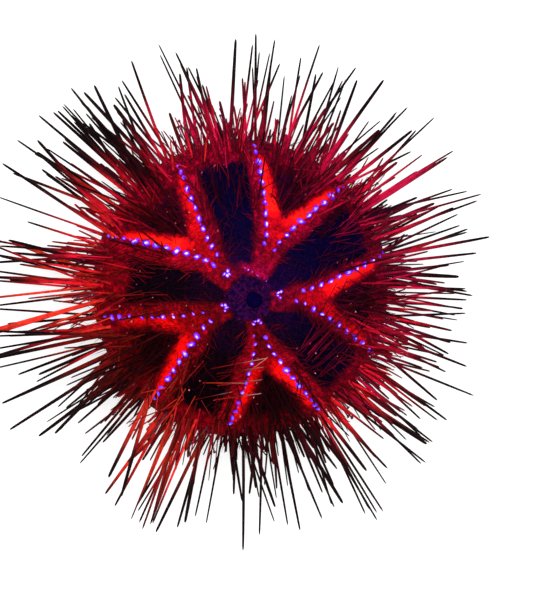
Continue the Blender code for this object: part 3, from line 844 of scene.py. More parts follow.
@dataclass(frozen=True)
class SpineFinish:
    """Milled, ribbed shafts from crimson to orange-red, bright or dusky, with dark tips and painted shade at
    the roots.
    """

    crimson: Colour = (0.72, 0.005, 0.060)
    red: Colour = (0.90, 0.007, 0.022)
    orange: Colour = (1.0, 0.058, 0.014)
    # Colours of the dimmest shafts: partly their own tone, partly painted shade.
    dark: Colour = (0.010, 0.0004, 0.0015)
    violet: Colour = (0.012, 0.0003, 0.009)
    tip: Colour = (0.006, 0.0010, 0.0014)
    # Tip colour of laid spines on the lit side: painted highlight.
    painted_highlight_tip: Colour = (0.80, 0.34, 0.30)
    ribs: float = 9.0
    rings: float = 60.0
    relief: float = 0.03 * MM

    def build(self) -> bpy.types.Material:
        """Build the material.

        Returns:
            The material.
        """
        paint = Paint("spine", 0.45, 0.03)
        share, mask, mix = paint.attribute, paint.mask, paint.mix
        along, warmth = share("along"), share("warmth")
        # Shaft hue by warmth, crimson to orange: partly painted light on the lit side, partly own tone.
        shaft = paint.ramp(warmth, (0.0, self.crimson), (0.5, self.red), (1.0, self.orange))
        patchy = mask(paint.noise(900.0, 4.0, 0.65), 0.32, 0.68)
        # Painted shade at the roots: each shaft is up to 15 % darker over its lowest quarter.
        bright = share("bright") * (patchy * 0.6 + 0.5) * (mask(along, 0.0, 0.25) * 0.15 + 0.85)
        # Dim shafts turn to the dark and violet colours: partly their own tone, partly painted shade.
        colour = mix(bright, mix(mask(warmth, 0.15, 0.55), self.violet, self.dark), shaft)
        burnt = mask(along - share("tone") * 0.60, 0.08, 0.62) * share("burn")
        colour = mix(burnt, colour, self.tip)
        # Painted highlight: pale tips on laid spines of the lit side.
        paint.set("Base Color", mix(share("pale") * mask(along, 0.5, 0.95), colour, self.painted_highlight_tip))
        wrap = paint.read(paint.node("UVMap", {}, uv_map="Shaft"))
        split = paint.node("SeparateXYZ", {0: wrap})
        ribs = paint.math("SINE", paint.read(split, 0) * (TURN * self.ribs))
        rings = paint.math("SINE", paint.read(split, 1) * (TURN * self.rings))
        paint.bump(ribs * 0.6 + rings * 0.35, self.relief)
        return paint.material


@dataclass(frozen=True)
class TissueFinish:
    """Simple mottled soft tissue or horn of one hue."""

    name: str
    light: Colour
    dark: Colour
    rough: float = 0.5
    size: float = 900.0
    specular: float = 0.2
    grain: float = 3200.0
    relief: float = 0.08 * MM

    def build(self) -> bpy.types.Material:
        """Build the material."""
        paint = Paint(self.name, self.rough, self.specular)
        mottle, height = paint.mottle(self.size, self.grain)
        mask = paint.ramp(mottle, (0.35, (0.0, 0.0, 0.0)), (0.68, (1.0, 1.0, 1.0)))
        paint.set("Base Color", paint.mix(mask, self.dark, self.light))
        paint.bump(height, self.relief)
        return paint.material


@dataclass
class Skin:
    """The one skin over the shell, its top plates and the mouth's membrane."""

    form: SkinForm
    turns: int = 100
    rings: int = 57
    levels: int = 2
    weld: float = 0.002 * MM
    hop: float = 0.1 * MM
    unevenness: float = 0.10 * MM
    lump: float = 3.2 * MM
    even_from: float = radians(150.0)
    pole: float = pi - 1e-4

    def lathe(self) -> bpy.types.Object:
        """Spin the half outline round the axis and subdivide it.

        Returns:
            The skin before its relief, with the axis at x = y = 0.
        """
        deselect_all()
        profile = self.form.profile
        radius, height, _ = profile.at(np.linspace(0.0, profile.length, self.rings))
        bpy.ops.mesh.primitive_plane_add(size=MM)
        made = bpy.context.object
        made.name = "skin"
        bpy.ops.object.mode_set(mode="EDIT")
        bpy.ops.mesh.select_all(action="SELECT")
        bpy.ops.mesh.merge(type="CENTER")
        bpy.ops.transform.translate(value=(0.0, 0.0, float(height[0])))
        for out, up in zip(np.diff(radius), np.diff(height)):
            bpy.ops.mesh.extrude_region_move(TRANSFORM_OT_translate={"value": (float(out), 0.0, float(up))})
        bpy.ops.mesh.select_all(action="SELECT")
        bpy.ops.mesh.spin(steps=self.turns, angle=TURN, center=(0, 0, 0), axis=(0, 0, 1))
        bpy.ops.mesh.select_all(action="SELECT")
        bpy.ops.mesh.remove_doubles(threshold=self.weld)
        bpy.ops.mesh.normals_make_consistent(inside=False)
        bpy.ops.object.mode_set(mode="OBJECT")
        smooth = made.modifiers.new("Smooth", "SUBSURF")
        smooth.levels = smooth.render_levels = self.levels
        bpy.ops.object.modifier_apply(modifier=smooth.name)
        bpy.ops.object.shade_smooth()
        return made

    def build(self) -> None:
        """Build and dress the skin."""
        made = self.lathe()
        mesh, form, profile = made.data, self.form, self.form.profile
        points, corners, face_of = read_mesh(mesh)
        azimuth = np.arctan2(points[:, 1], points[:, 0])
        run = profile.nearest(np.hypot(points[:, 0], points[:, 1]), points[:, 2])
        radius, height, phi = profile.at(run)
        ahead, behind = profile.at(run + self.hop), profile.at(run - self.hop)
        slope = np.arctan2(ahead[1] - behind[1], ahead[0] - behind[0])
        lumps = np.array([noise.noise(Vector(point) / self.lump) for point in points])
        lift = form.lift(azimuth, phi, radius) + self.unevenness * lumps * (phi < self.even_from)
        radius = np.maximum(radius - np.sin(slope) * lift, 0.0)
        height = height + np.cos(slope) * lift
        placed = np.stack([radius * np.cos(azimuth), radius * np.sin(azimuth), height], axis=1)
        mesh.vertices.foreach_set("co", (placed + np.array(form.foot)).astype(np.float32).ravel())
        for name, values in form.zones(azimuth, phi, radius).items():
            add_attribute(mesh, name, values)
        flat = form.unwrap(azimuth, phi)[corners]
        pole = phi[corners] > self.pole
        middle = np.zeros((len(mesh.polygons), 2))
        np.add.at(middle, face_of[~pole], flat[~pole] - 0.5)
        bearing = np.arctan2(middle[:, 1], middle[:, 0])[face_of[pole]]
        flat[pole] = form.unwrap(bearing, np.full(len(bearing), pi))
        add_wrap(mesh, "OFBake", flat)
        mesh.update()
        nodes = BROAD_NODES + NARROW_NODES + TOP_NODES + ("peristome", "lip")
        register(made, SkinFinish().build(), "red_skin", nodes)


class SpotRow(NamedTuple):
    """One row of spots: its plate and side, its start in millimetres, its large spots and their size."""

    plate: int
    side: int
    start: float
    count: int
    size: float


class Cluster(NamedTuple):
    """A knot of small spots on a genital plate: its place in the plate's plan and its width."""

    plate: int
    along: float
    across: float
    open: float


@dataclass
class BlueSpots(Growth):
    """Domed spots along the ten rows, and the clusters on the genital plates."""

    seed: ClassVar[int] = 5
    rows: tuple[SpotRow, ...] = (
        SpotRow(0, 1, 9.8, 9, 0.86), SpotRow(0, -1, 8.8, 9, 0.82), SpotRow(1, 1, 9.1, 9, 0.86),
        SpotRow(1, -1, 8.7, 9, 0.96), SpotRow(2, 1, 8.2, 9, 0.99), SpotRow(2, -1, 9.0, 8, 0.93),
        SpotRow(3, 1, 9.0, 8, 1.0), SpotRow(3, -1, 9.4, 8, 0.54), SpotRow(4, 1, 8.9, 8, 0.86),
        SpotRow(4, -1, 8.0, 8, 0.58),
    )
    pitch: float = 1.68 * MM
    crowded_pitch: float = 1.10 * MM
    crowded: int = 3
    width_spread: Pair = (0.78, 1.12)
    crowded_widths: Pair = (0.52, 0.70)
    flats: Pair = (0.52, 0.78)
    slant: Pair = (0.9, 0.5)
    clusters: tuple[Cluster, ...] = (
        Cluster(0, 5.4 * MM, 0.0, 1.0), Cluster(2, 5.4 * MM, 0.4 * MM, 0.8),
        Cluster(3, 5.5 * MM, 0.1 * MM, 0.9), Cluster(4, 5.8 * MM, 0.0, 1.1),
    )
    cluster_marks: Pairs = ((0.25, 0.55), (-0.30, 0.25), (-0.32, -0.25), (0.22, -0.60))
    specks: int = 7
    specked_plate: int = 1
    sides: int = 14
    stations: Pairs = ((0.96, -0.6), (1.0, 0.0), (0.93, 0.28), (0.74, 0.56), (0.46, 0.80), (0.16, 0.96))
    ragged_size: float = 0.45 * MM
    raggedness: float = 0.20 * MM

    def set_spot(
        self, plate: int, along: float, across: float, width: float, flat: float, turn: float, deep: float
    ) -> None:
        """Set one spot on the skin.

        Args:
            plate: Number of the plate.
            along: Distance along the plate's middle line.
            across: Signed distance across it.
            width: Its long half width.
            flat: Share of that across the other way.
            turn: Azimuth of its long side relative to the middle line, in radians.
            deep: 0 for a pale heart, 1 for deep blue all over.
        """
        shape = self.form.shape
        place = shape.root_at(*shape.from_plate(plate, along, across))
        point, normal = self.form.place(*place)
        helper = Vector((0.0, 0.0, 1.0)) if abs(normal.z) <= 0.9 else Vector((1.0, 0.0, 0.0))
        side = helper.cross(normal).normalized()
        wanted = polar(1.0, shape.plate_azimuth(plate) + turn, 0.0)
        spin = math.atan2(wanted.dot(normal.cross(side)), wanted.dot(side))
        foot, height = point - normal * 0.05 * MM, 0.36 * width + 0.1 * MM
        self.copies.append(Copy(foot, normal, width, height, place, flat, spin, values={"deep": deep}))

    def set_row(self, row: SpotRow) -> None:
        """Set one row from the top down: large spots, some small ones between, and a crowded end.

        Args:
            row: The row.
        """
        draw, along = self.draw, row.start * MM
        for index in range(row.count + self.crowded):
            outer = index >= row.count
            grown = 0.44 + 0.44 * min(1.0, (index + 1) / 4.0)
            width = grown * MM * row.size * draw.uniform(*self.width_spread)
            if outer:
                width = draw.uniform(*self.crowded_widths) * MM
            all_deep = outer or index == 0
            deep = draw.uniform(0.7, 1.0) if all_deep else max(0.0, draw.gauss(0.9 - 0.75 * row.size, 0.2))
            across = row.side * float(self.form.shape.row_offset(along)) + draw.gauss(0.0, 0.07) * MM
            turn = row.side * draw.gauss(*self.slant)
            self.set_spot(row.plate, along, across, width, draw.uniform(*self.flats), turn, deep)
            if draw.random() < 0.35 and not outer and index > 1:
                small = (along + 0.5 * self.pitch, across + row.side * 0.3 * MM, 0.2 * MM, 0.8)
                self.set_spot(row.plate, *small, turn, 1.0)
            along += (self.crowded_pitch if outer else self.pitch) * draw.uniform(0.93, 1.07)

    def set_clusters(self) -> None:
        """Set the small spots that crowd on the genital plates."""
        draw = self.draw
        for cluster in self.clusters:
            for along, across in self.cluster_marks:
                place = (cluster.along + along * MM, cluster.across + across * MM * cluster.open)
                width, flat = draw.uniform(0.34, 0.46) * MM, draw.uniform(0.65, 0.9)
                turn, deep = draw.uniform(-1.5, 1.5), draw.uniform(0.0, 0.5)
                self.set_spot(cluster.plate, *place, width, flat, turn, deep)
        for step in range(self.specks):
            share = step / (self.specks - 1.0) - 0.5
            width = draw.uniform(0.10, 0.20) * MM
            along = (3.25 - 0.5 * share + draw.gauss(0.0, 0.08)) * MM
            across = (0.35 - 4.4 * share + draw.gauss(0.0, 0.12)) * MM
            self.set_spot(self.specked_plate, along, across, width, 0.9, 0.0, draw.uniform(0.0, 0.8))

    def build(self) -> None:
        """Build and dress all spots, each with an outline of its own."""
        for row in self.rows:
            self.set_row(row)
        self.set_clusters()
        made = self.cast("blue_spots", Mould(self.stations, self.sides))
        noise.seed_set(self.seed)
        for vertex in made.data.vertices:
            vertex.co += noise.noise_vector(vertex.co / self.ragged_size) * self.raggedness
        register(made, SpotFinish().build(), "red_skin")


class Zone(NamedTuple):
    """Band of a plate and the spines on it; angles in degrees, lengths in millimetres.

    Attributes:
        phi: The band, from the top (0) over the ambitus (90) to the mouth (180).
        count: Number of spines.
        turn: Spread of the heading either side of straight out.
        lean: Angle off the upright at phi = 0, and its growth with phi.
        share: Least part of the full length or reach that a spine has.
        length: Length at phi = 0 and its growth with phi, or None to grow out to the reach.
    """

    phi: Pair
    count: int
    turn: float
    lean: Pair
    share: float
    length: Pair | None = None


class Laid(NamedTuple):
    """Long spines that lie across a dark petal; angles in degrees, lengths in millimetres.

    Attributes:
        petal: Number of the narrow plate.
        heading: Azimuth that they point to, and its spread.
        lean: Angle off the upright.
        lengths: Shortest and longest.
        across: Places of their roots, from -1 at one edge of the plate to 1 at the other.
        phi: Angles of their roots from the top.
        beside: How many finer ones lie beside them.
        beside_lengths: Their shortest and longest.
    """

    petal: int
    heading: Pair
    lean: float
    lengths: Pair
    across: Pair
    phi: Pair
    beside: int
    beside_lengths: Pair


class Region(Enum):
    """Part of the shell that a spine stands on, with its root's radius in millimetres."""

    UPPER = 0.18
    AMBITAL = 0.265
    LOWER = 0.27
    ORAL = 0.26
    PETAL = 0.12
    LAID = 0.115
    STANDING = 0.30


class Spine(NamedTuple):
    """One spine, with the axis at x = y = 0."""

    broad: bool
    region: Region
    azimuth: float
    phi: float
    root: Vector
    normal: Vector
    direction: Vector
    length: float
    width: float
    fine: bool = False

    @property
    def tip(self) -> Vector:
        """Its outer end."""
        return self.root + self.direction * self.length


class Slice(NamedTuple):
    """Part of the shell between two upright planes through the axis, a broad plate's or another."""

    middle: float
    half: float
    broad: bool = False

    def depth_inside(self, point: Vector) -> float:
        """How far a point lies inside the nearer of the two planes."""
        off = (math.atan2(point[1], point[0]) - self.middle + pi) % TURN - pi
        radius = hypot(point[0], point[1])
        return radius * sin(self.half - abs(off)) if abs(off) < self.half + 1.0 else -radius


@dataclass
class SpinePlan:
    """Seeded layout of the spines: first those of the solids, then finer ones among them.

    A thicket is an azimuth, a half width, a number of spines, their least share of the full reach
    and how strongly they pull together. A fringe is the first three of these.
    """

    form: SkinForm
    seed: int = 11
    gap: float = 0.3 * MM
    main_radius: float = 0.56 * MM
    fine_radius: float = 0.46 * MM
    end_radius: float = 0.37 * MM
    taper: float = 0.4
    least_rise: float = sin(radians(24.0))
    lean_spread: float = 5.0
    floor_clearance: float = 0.6 * MM
    fine_clearance: float = 0.4 * MM
    sink_below_skin: float = 0.5 * MM
    least_sink: float = 0.9 * MM
    tip_above_floor: float = 1.1 * MM
    edge_share: float = 0.93
    bare_end: float = radians(62.0)
    bare_sides: Pair = (2.6 * MM, 1.0 * MM)
    sectors: Pairs = (
        (47.0, 1.1), (48.5, 1.2), (47.5, 1.3), (50.0, 1.8), (49.0, 0.8), (52.0, 0.8),
        (53.0, 0.6), (50.0, 0.9), (50.0, 1.6), (50.0, 1.8), (52.0, 0.9), (48.0, 1.7),
    )
    tufts: int = 17
    tuft_pull: float = 9.0
    tuft_phase: float = 0.8
    attempts: int = 60
    laid_count: int = 7
    stoutness: Pair = (0.80, 0.75)
    fine_gap: float = 0.04 * MM
    fine_attempts: int = 30
    broad_zones: tuple[Zone, ...] = (
        Zone((30, 62), 18, 10.0, (31, 0.60), 0.70, (4.0, 0.23)),
        Zone((62, 100), 34, 8.0, (36, 0.56), 0.60),
        Zone((100, 122), 15, 8.0, (46, 0.50), 0.58),
        Zone((122, 158), 15, 25.0, (60, 0.60), 0.75, (7.0, 0.0)),
    )
    narrow_zones: tuple[Zone, ...] = (
        Zone((30, 62), 10, 12.0, (29, 0.60), 0.65, (2.5, 0.22)),
        Zone((62, 100), 18, 8.0, (36, 0.56), 0.60),
        Zone((100, 122), 8, 8.0, (46, 0.50), 0.58),
        Zone((122, 158), 7, 25.0, (60, 0.60), 0.75, (7.0, 0.0)),
    )
    fine_broad_zones: tuple[Zone, ...] = (
        Zone((30, 64), 70, 30.0, (33, 0.60), 0.40, (2.5, 0.09)),
        Zone((60, 100), 0, 14.0, (38, 0.54), 0.45, (3.0, 0.05)),
        Zone((98, 124), 20, 14.0, (46, 0.50), 0.50, (10.0, 0.0)),
        Zone((122, 160), 30, 40.0, (60, 0.60), 0.5, (6.0, 0.0)),
    )
    fine_narrow_zones: tuple[Zone, ...] = (
        Zone((28, 62), 10, 17.0, (34, 0.60), 0.5, (2.0, 0.15)),
        Zone((58, 100), 0, 14.0, (38, 0.54), 0.45, (3.0, 0.05)),
        Zone((98, 124), 12, 14.0, (46, 0.50), 0.50, (10.0, 0.0)),
        Zone((122, 160), 13, 40.0, (60, 0.60), 0.5, (6.0, 0.0)),
    )
    fringe_counts: tuple[int, ...] = (28, 26, 6, 18, 10, 16, 11, 3, 6, 9)
    thicket_zone: Zone = Zone((64, 98), 0, 8.0, (37, 0.55), 0.0)
    tuft_turn_spread: float = 3.0
    thickets: tuple[tuple[float, float, int, float, float], ...] = (
        (300.0, 30.0, 6, 0.66, 0.0), (205.0, 14.0, 8, 0.66, 0.0), (332.0, 9.0, 10, 0.70, 0.0),
        (26.0, 9.0, 10, 0.66, 0.0), (92.0, 12.0, 12, 0.74, 0.0), (179.0, 9.0, 6, 0.70, 0.0),
        (10.0, 10.0, 8, 0.66, 0.0), (314.0, 9.0, 12, 0.74, 0.0), (243.0, 3.5, 7, 0.91, 1.4),
        (297.0, 2.2, 4, 0.92, 1.3), (47.0, 3.0, 5, 0.85, 1.2), (131.0, 5.0, 9, 0.86, 1.2),
    )
    fringe_zone: Zone = Zone((36, 62), 0, 20.0, (38, 0.60), 0.5, (3.0, 0.10))
    fringes: tuple[tuple[float, float, int], ...] = ((171.0, 13.0, 30), (34.0, 10.0, 26), (99.0, 12.0, 22))
    swept_petal: float = radians(317.0)
    swept_width: float = radians(13.0)
    sweep: float = 42.0
    standing: tuple[Triple, ...] = (
        (138.0, 0.0, 160.0), (128.0, 0.55, 150.0), (128.0, -0.55, 150.0), (152.0, 0.3, 168.0),
    )
    standing_turns: tuple[float, ...] = (0.0, 0.12, -0.12, 0.24, -0.24)
    laid_over: tuple[Laid, ...] = (
        Laid(3, (22.0, 11.0), 58.0, (9.0, 12.5), (-0.2, 0.85), (32.0, 50.0), 10, (7.0, 13.0)),
        Laid(4, (49.0, 6.0), 58.0, (9.0, 13.0), (-0.88, -0.25), (28.0, 48.0), 38, (11.0, 18.0)),
    )

    def __post_init__(self) -> None:
        """Start with no spines."""
        self.draw = random.Random(self.seed)
        self.spines: list[Spine] = []
        self.rods = np.zeros((0, 8))

    def clearance(self, start: Vector, tip: Vector, radii: Pair) -> float:
        """Least clear distance from a spine to those already set.

        Args:
            start: Its root below the skin.
            tip: Its tip.
            radii: Its radius at the root and at the end of its taper.

        Returns:
            The distance in metres.
        """
        if not self.spines:
            return 1.0
        start, tip = np.array(start), np.array(tip)
        base, least, most = self.rods[:, :3], self.rods[:, 6], self.rods[:, 7]
        run = self.rods[:, 3:6] - base
        own = tip - start
        offset = start - base
        a = float(own @ own)
        e = np.einsum("ij,ij->i", run, run)
        f = np.einsum("ij,ij->i", run, offset)
        b = run @ own
        c = offset @ own
        s = np.clip((b * f - c * e) / np.maximum(a * e - b * b, 1e-16), 0.0, 1.0)
        t = np.clip((b * s + f) / e, 0.0, 1.0)
        s = np.clip((b * t - c) / a, 0.0, 1.0)
        reach = np.linalg.norm(offset + s[:, None] * own - t[:, None] * run, axis=1)
        own_radius = radii[0] + (radii[1] - radii[0]) * s
        return float(np.min(reach - own_radius - (least + (most - least) * t)))

    def clear_of_plates(self, part: Slice, spine: Spine, sink: float, radius: float) -> bool:
        """Say whether a spine keeps off the neighbouring plates near its root.

        Args:
            part: The slice that it stands on.
            spine: The spine.
            sink: Depth of its root.
            radius: Its radius.

        Returns:
            True if it does.
        """
        for step in range(-3, 13):
            along = step * sink / 3.0 if step < 0 else step * 0.7 * MM
            point = spine.root + spine.direction * along
            above = (point - spine.root).dot(spine.normal)
            if part.depth_inside(point) < radius + self.gap and above < radius + 1.2 * self.gap:
                return False
        return True

    def keep(self, spine: Spine, start: Vector, radii: Pair) -> bool:
        """Set a spine, with its root below the skin and its radii."""
        self.spines.append(spine)
        self.rods = np.vstack([self.rods, [*start, *spine.tip, *radii]])
        return True

    def spine_at(
        self, broad: bool, region: Region, azimuth: float, degrees: float, heading: float, lean: float,
        length: float,
    ) -> Spine:
        """Make a spine that isn't set yet.

        Args:
            broad: True on a broad plate.
            region: Where on the shell it stands.
            azimuth: Azimuth of its root.
            degrees: Angle from the top of its root, in degrees.
            heading: Azimuth that it leans to.
            lean: Angle off the upright.
            length: Its length.

        Returns:
            The spine.
        """
        phi = radians(degrees)
        root, normal = self.form.shape.surface_at(azimuth, phi)
        direction = lean_to(heading, lean)
        return Spine(broad, region, azimuth, phi, root, normal, direction, length, region.value * MM)

    def add(self, part: Slice, spine: Spine) -> bool:
        """Set one spine of the solids' layout if it is clear.

        Args:
            part: The slice that it stands on.
            spine: The spine. The length of one that stands on the floor is worked out.

        Returns:
            True if it was set.
        """
        rests = spine.region is Region.STANDING
        radius = self.main_radius if spine.broad and not rests else self.fine_radius
        radii = (radius, self.end_radius)
        rise = spine.direction.dot(spine.normal)
        if rise < self.least_rise:
            return False
        if rests:
            spine = spine._replace(length=-spine.root.z / spine.direction.z)
        elif spine.tip.z < self.floor_clearance + self.end_radius:
            return False
        sink = (radius * math.sqrt(1.0 - min(1.0, rise) ** 2) + self.sink_below_skin) / rise
        sink = max(sink, self.least_sink)
        start = spine.root - spine.direction * sink
        if not self.clear_of_plates(part, spine, sink, radius):
            return False
        if self.clearance(start, spine.tip, radii) < 1.1 * self.gap:
            return False
        return self.keep(spine, start, radii)

    def add_fine(self, spine: Spine, slimness: float, least_rise: float) -> bool:
        """Set one finer spine if it is clear, by its share of the width and its least rise off the shell."""
        spine = spine._replace(width=spine.width * slimness, fine=True)
        radii = (spine.width, self.taper * spine.width)
        if spine.direction.dot(spine.normal) < least_rise or spine.tip.z < self.fine_clearance:
            return False
        if self.clearance(spine.root, spine.tip, radii) < self.fine_gap:
            return False
        return self.keep(spine, spine.root, radii)

    def naked(self, azimuth: float, degrees: float, middle: float) -> bool:
        """True on the bare forked band of a broad plate's upper side."""
        phi = radians(degrees)
        radius = self.form.shape.meridian(phi)[0]
        across = abs(radius * sin(azimuth - middle))
        row = float(self.form.shape.row_offset(radius * cos(azimuth - middle)))
        return phi < self.bare_end and row - self.bare_sides[0] < across < row + self.bare_sides[1]

    def sector_value(self, azimuth: float, column: int) -> float:
        """Value of a column of the sectors at an azimuth, blended between its neighbours."""
        place = (azimuth / TURN) % 1.0 * len(self.sectors)
        before = int(place) % len(self.sectors)
        after = (before + 1) % len(self.sectors)
        share = place - int(place)
        return self.sectors[before][column] * (1.0 - share) + self.sectors[after][column] * share

    def tuft_turn(self, azimuth: float) -> float:
        """How far a spine turns towards the middle of its tuft, in degrees."""
        return -self.tuft_pull * sin(self.tufts * azimuth + self.tuft_phase)

    def length_for(self, zone: Zone, azimuth: float, degrees: float, lean: float, share: float) -> float:
        """Length of a spine, cut short where it would come near the floor.

        Args:
            zone: Its zone.
            azimuth: Azimuth of its root.
            degrees: Angle from the top of its root.
            lean: Angle off the upright, in radians.
            share: Part of the full length that it has.

        Returns:
            The length in metres.
        """
        radius, height = self.form.shape.meridian(radians(degrees))
        if zone.length:
            length = share * MM * (zone.length[0] + zone.length[1] * degrees)
        else:
            length = (share * self.sector_value(azimuth, 0) * MM - radius) / sin(lean)
        if lean > pi / 2:
            length = min(length, (height - self.tip_above_floor) / -cos(lean))
        return length

    def region_of(self, zone: Zone, broad: bool) -> Region:
        """Region that a zone lies in."""
        if zone.phi[0] < 40:
            return Region.UPPER if broad else Region.PETAL
        if zone.phi[0] < 90:
            return Region.AMBITAL
        return Region.LOWER if zone.phi[0] < 115 else Region.ORAL

    def scatter(self, wanted: int, attempts: int, attempt: Callable[[], bool]) -> None:
        """Repeat an attempt to set a spine until the wanted number is set.

        Args:
            wanted: The number.
            attempts: Most attempts for each of them.
            attempt: Draws a spine, and says whether it was set.
        """
        for _ in range(wanted * attempts):
            if wanted == 0:
                return
            wanted -= attempt()

    def try_main(self, part: Slice, zone: Zone) -> bool:
        """Draw one spine of a zone as the solids have it, and set it if it is clear."""
        draw = self.draw
        azimuth = part.middle + self.edge_share * part.half * draw.uniform(-1.0, 1.0)
        degrees = draw.uniform(*zone.phi)
        heading = azimuth + radians(draw.gauss(self.tuft_turn(azimuth), zone.turn))
        lean = radians(draw.gauss(zone.lean[0] + zone.lean[1] * degrees, self.lean_spread))
        share = zone.share + (1.0 - zone.share) * draw.random() ** self.sector_value(azimuth, 1)
        if part.broad and self.naked(azimuth, degrees, part.middle):
            return False
        region = self.region_of(zone, part.broad)
        length = self.length_for(zone, azimuth, degrees, lean, share)
        return self.add(part, self.spine_at(part.broad, region, azimuth, degrees, heading, lean, length))

    def try_laid(self, part: Slice, laid: Laid) -> bool:
        """Draw one long spine that lies across a petal, and set it if it is clear."""
        draw = self.draw
        azimuth = part.middle + part.half * draw.uniform(*laid.across)
        degrees = draw.uniform(*laid.phi)
        heading = radians(draw.gauss(*laid.heading))
        lean = radians(draw.gauss(laid.lean, self.lean_spread))
        length = MM * draw.uniform(*laid.lengths)
        return self.add(part, self.spine_at(False, Region.LAID, azimuth, degrees, heading, lean, length))

    def try_beside(self, part: Slice, laid: Laid) -> bool:
        """Draw one finer long spine beside those that lie across a petal, and set it if it is clear."""
        draw = self.draw
        azimuth = part.middle + part.half * draw.uniform(-0.95, 0.95)
        degrees = draw.uniform(laid.phi[0], laid.phi[1] + 8.0)
        lean = radians(draw.gauss(laid.lean + 4.0, 3.0))
        heading = radians(draw.gauss(*laid.heading))
        length = MM * draw.uniform(*laid.beside_lengths)
        spine = self.spine_at(False, Region.LAID, azimuth, degrees, heading, lean, length)
        return self.add_fine(spine, draw.uniform(0.5, 0.75), 0.2)

    def try_fine(self, part: Slice, zone: Zone, pull: float) -> bool:
        """Draw one finer spine of a zone, and set it if it is clear.

        Args:
            part: Where it stands.
            zone: Its zone.
            pull: How strongly it turns towards the middle of that part, to end as one tuft.

        Returns:
            True if it was set.
        """
        draw, shape = self.draw, self.form.shape
        azimuth = part.middle + part.half * draw.uniform(-1.0, 1.0)
        degrees = draw.uniform(*zone.phi)
        swept = self.sweep * hump(self.swept_petal, self.swept_width, azimuth)
        swept *= 1.0 - float(soft_step(50.0, 85.0, degrees))
        own = pull * math.degrees(part.middle - azimuth) if pull else self.tuft_turn(azimuth) + swept
        heading = azimuth + radians(draw.gauss(own, zone.turn))
        lean = radians(draw.gauss(zone.lean[0] + zone.lean[1] * degrees, 1.4 * self.lean_spread))
        share = draw.uniform(zone.share, 0.96)
        off = math.remainder(math.degrees(azimuth) - shape.first_plate, shape.plate_step)
        broad = abs(off) < shape.broad_half
        slimmest = 0.5 if zone.length else 0.8
        slimness = draw.uniform(slimmest, slimmest + 0.25)
        if broad and self.naked(azimuth, degrees, part.middle):
            return False
        length = self.length_for(zone, azimuth, degrees, lean, share)
        spine = self.spine_at(broad, self.region_of(zone, broad), azimuth, degrees, heading, lean, length)
        return self.add_fine(spine, slimness, 0.3)

    def fill_fine(self, part: Slice, zone: Zone, pull: float = 0.0) -> None:
        """Scatter one zone's finer spines between those already set."""
        self.scatter(zone.count, self.fine_attempts, lambda: self.try_fine(part, zone, pull))

    def stand(self, part: Slice, degrees: float, share: float, lean: float) -> None:
        """Set one spine that stands on the floor."""
        azimuth = part.middle + share * part.half
        for turn in self.standing_turns:
            place = (azimuth + 0.3 * turn, degrees, azimuth + turn)
            if self.add(part, self.spine_at(part.broad, Region.STANDING, *place, radians(lean), 0.0)):
                return

    def lay_out_main(self, parts: list[Slice]) -> None:
        """Set the solids' spines on the plates, in the solids' order, and vary the long ones' widths.

        Args:
            parts: The plates.
        """
        for part in parts:
            for resting in self.standing if part.broad else self.standing[:1]:
                self.stand(part, *resting)
        for laid in self.laid_over:
            petal = parts[2 * laid.petal + 1]
            self.scatter(self.laid_count, self.attempts, lambda: self.try_laid(petal, laid))
        for part in parts:
            for zone in self.broad_zones if part.broad else self.narrow_zones:
                self.scatter(zone.count, self.attempts, lambda: self.try_main(part, zone))
        LOG.info("main spines laid out: %d", len(self.spines))
        draw = random.Random(self.seed)
        least, growth = self.stoutness
        for index, spine in enumerate(self.spines):
            if spine.region in (Region.AMBITAL, Region.LOWER):
                self.spines[index] = spine._replace(width=spine.width * (least + growth * draw.random() ** 2))
        self.rods[:, 6:] = [(spine.width, self.taper * spine.width) for spine in self.spines]

    def lay_out(self) -> None:
        """Set every spine: the solids' ones, then the finer ones."""
        shape, parts = self.form.shape, []
        broad_half = radians(shape.broad_half)
        narrow_half = radians(0.5 * shape.plate_step - shape.broad_half)
        for number in range(5):
            parts.append(Slice(shape.plate_azimuth(number), broad_half, True))
            parts.append(Slice(shape.petal_azimuth(number), narrow_half))
        self.lay_out_main(parts)
        for part, fringe in zip(parts, self.fringe_counts):
            for zone in self.fine_broad_zones if part.broad else self.fine_narrow_zones:
                self.fill_fine(part, zone if zone.count else zone._replace(count=fringe))
        for laid in self.laid_over:
            for _ in range(laid.beside):
                self.try_beside(parts[2 * laid.petal + 1], laid)
        for azimuth, half, count, share, pull in self.thickets:
            turn = self.tuft_turn_spread if pull else self.thicket_zone.turn
            zone = self.thicket_zone._replace(count=count, turn=turn, share=share)
            self.fill_fine(Slice(radians(azimuth), radians(half)), zone, pull)
        for azimuth, half, count in self.fringes:
            self.fill_fine(Slice(radians(azimuth), radians(half)), self.fringe_zone._replace(count=count))
        LOG.info("all spines laid out: %d", len(self.spines))


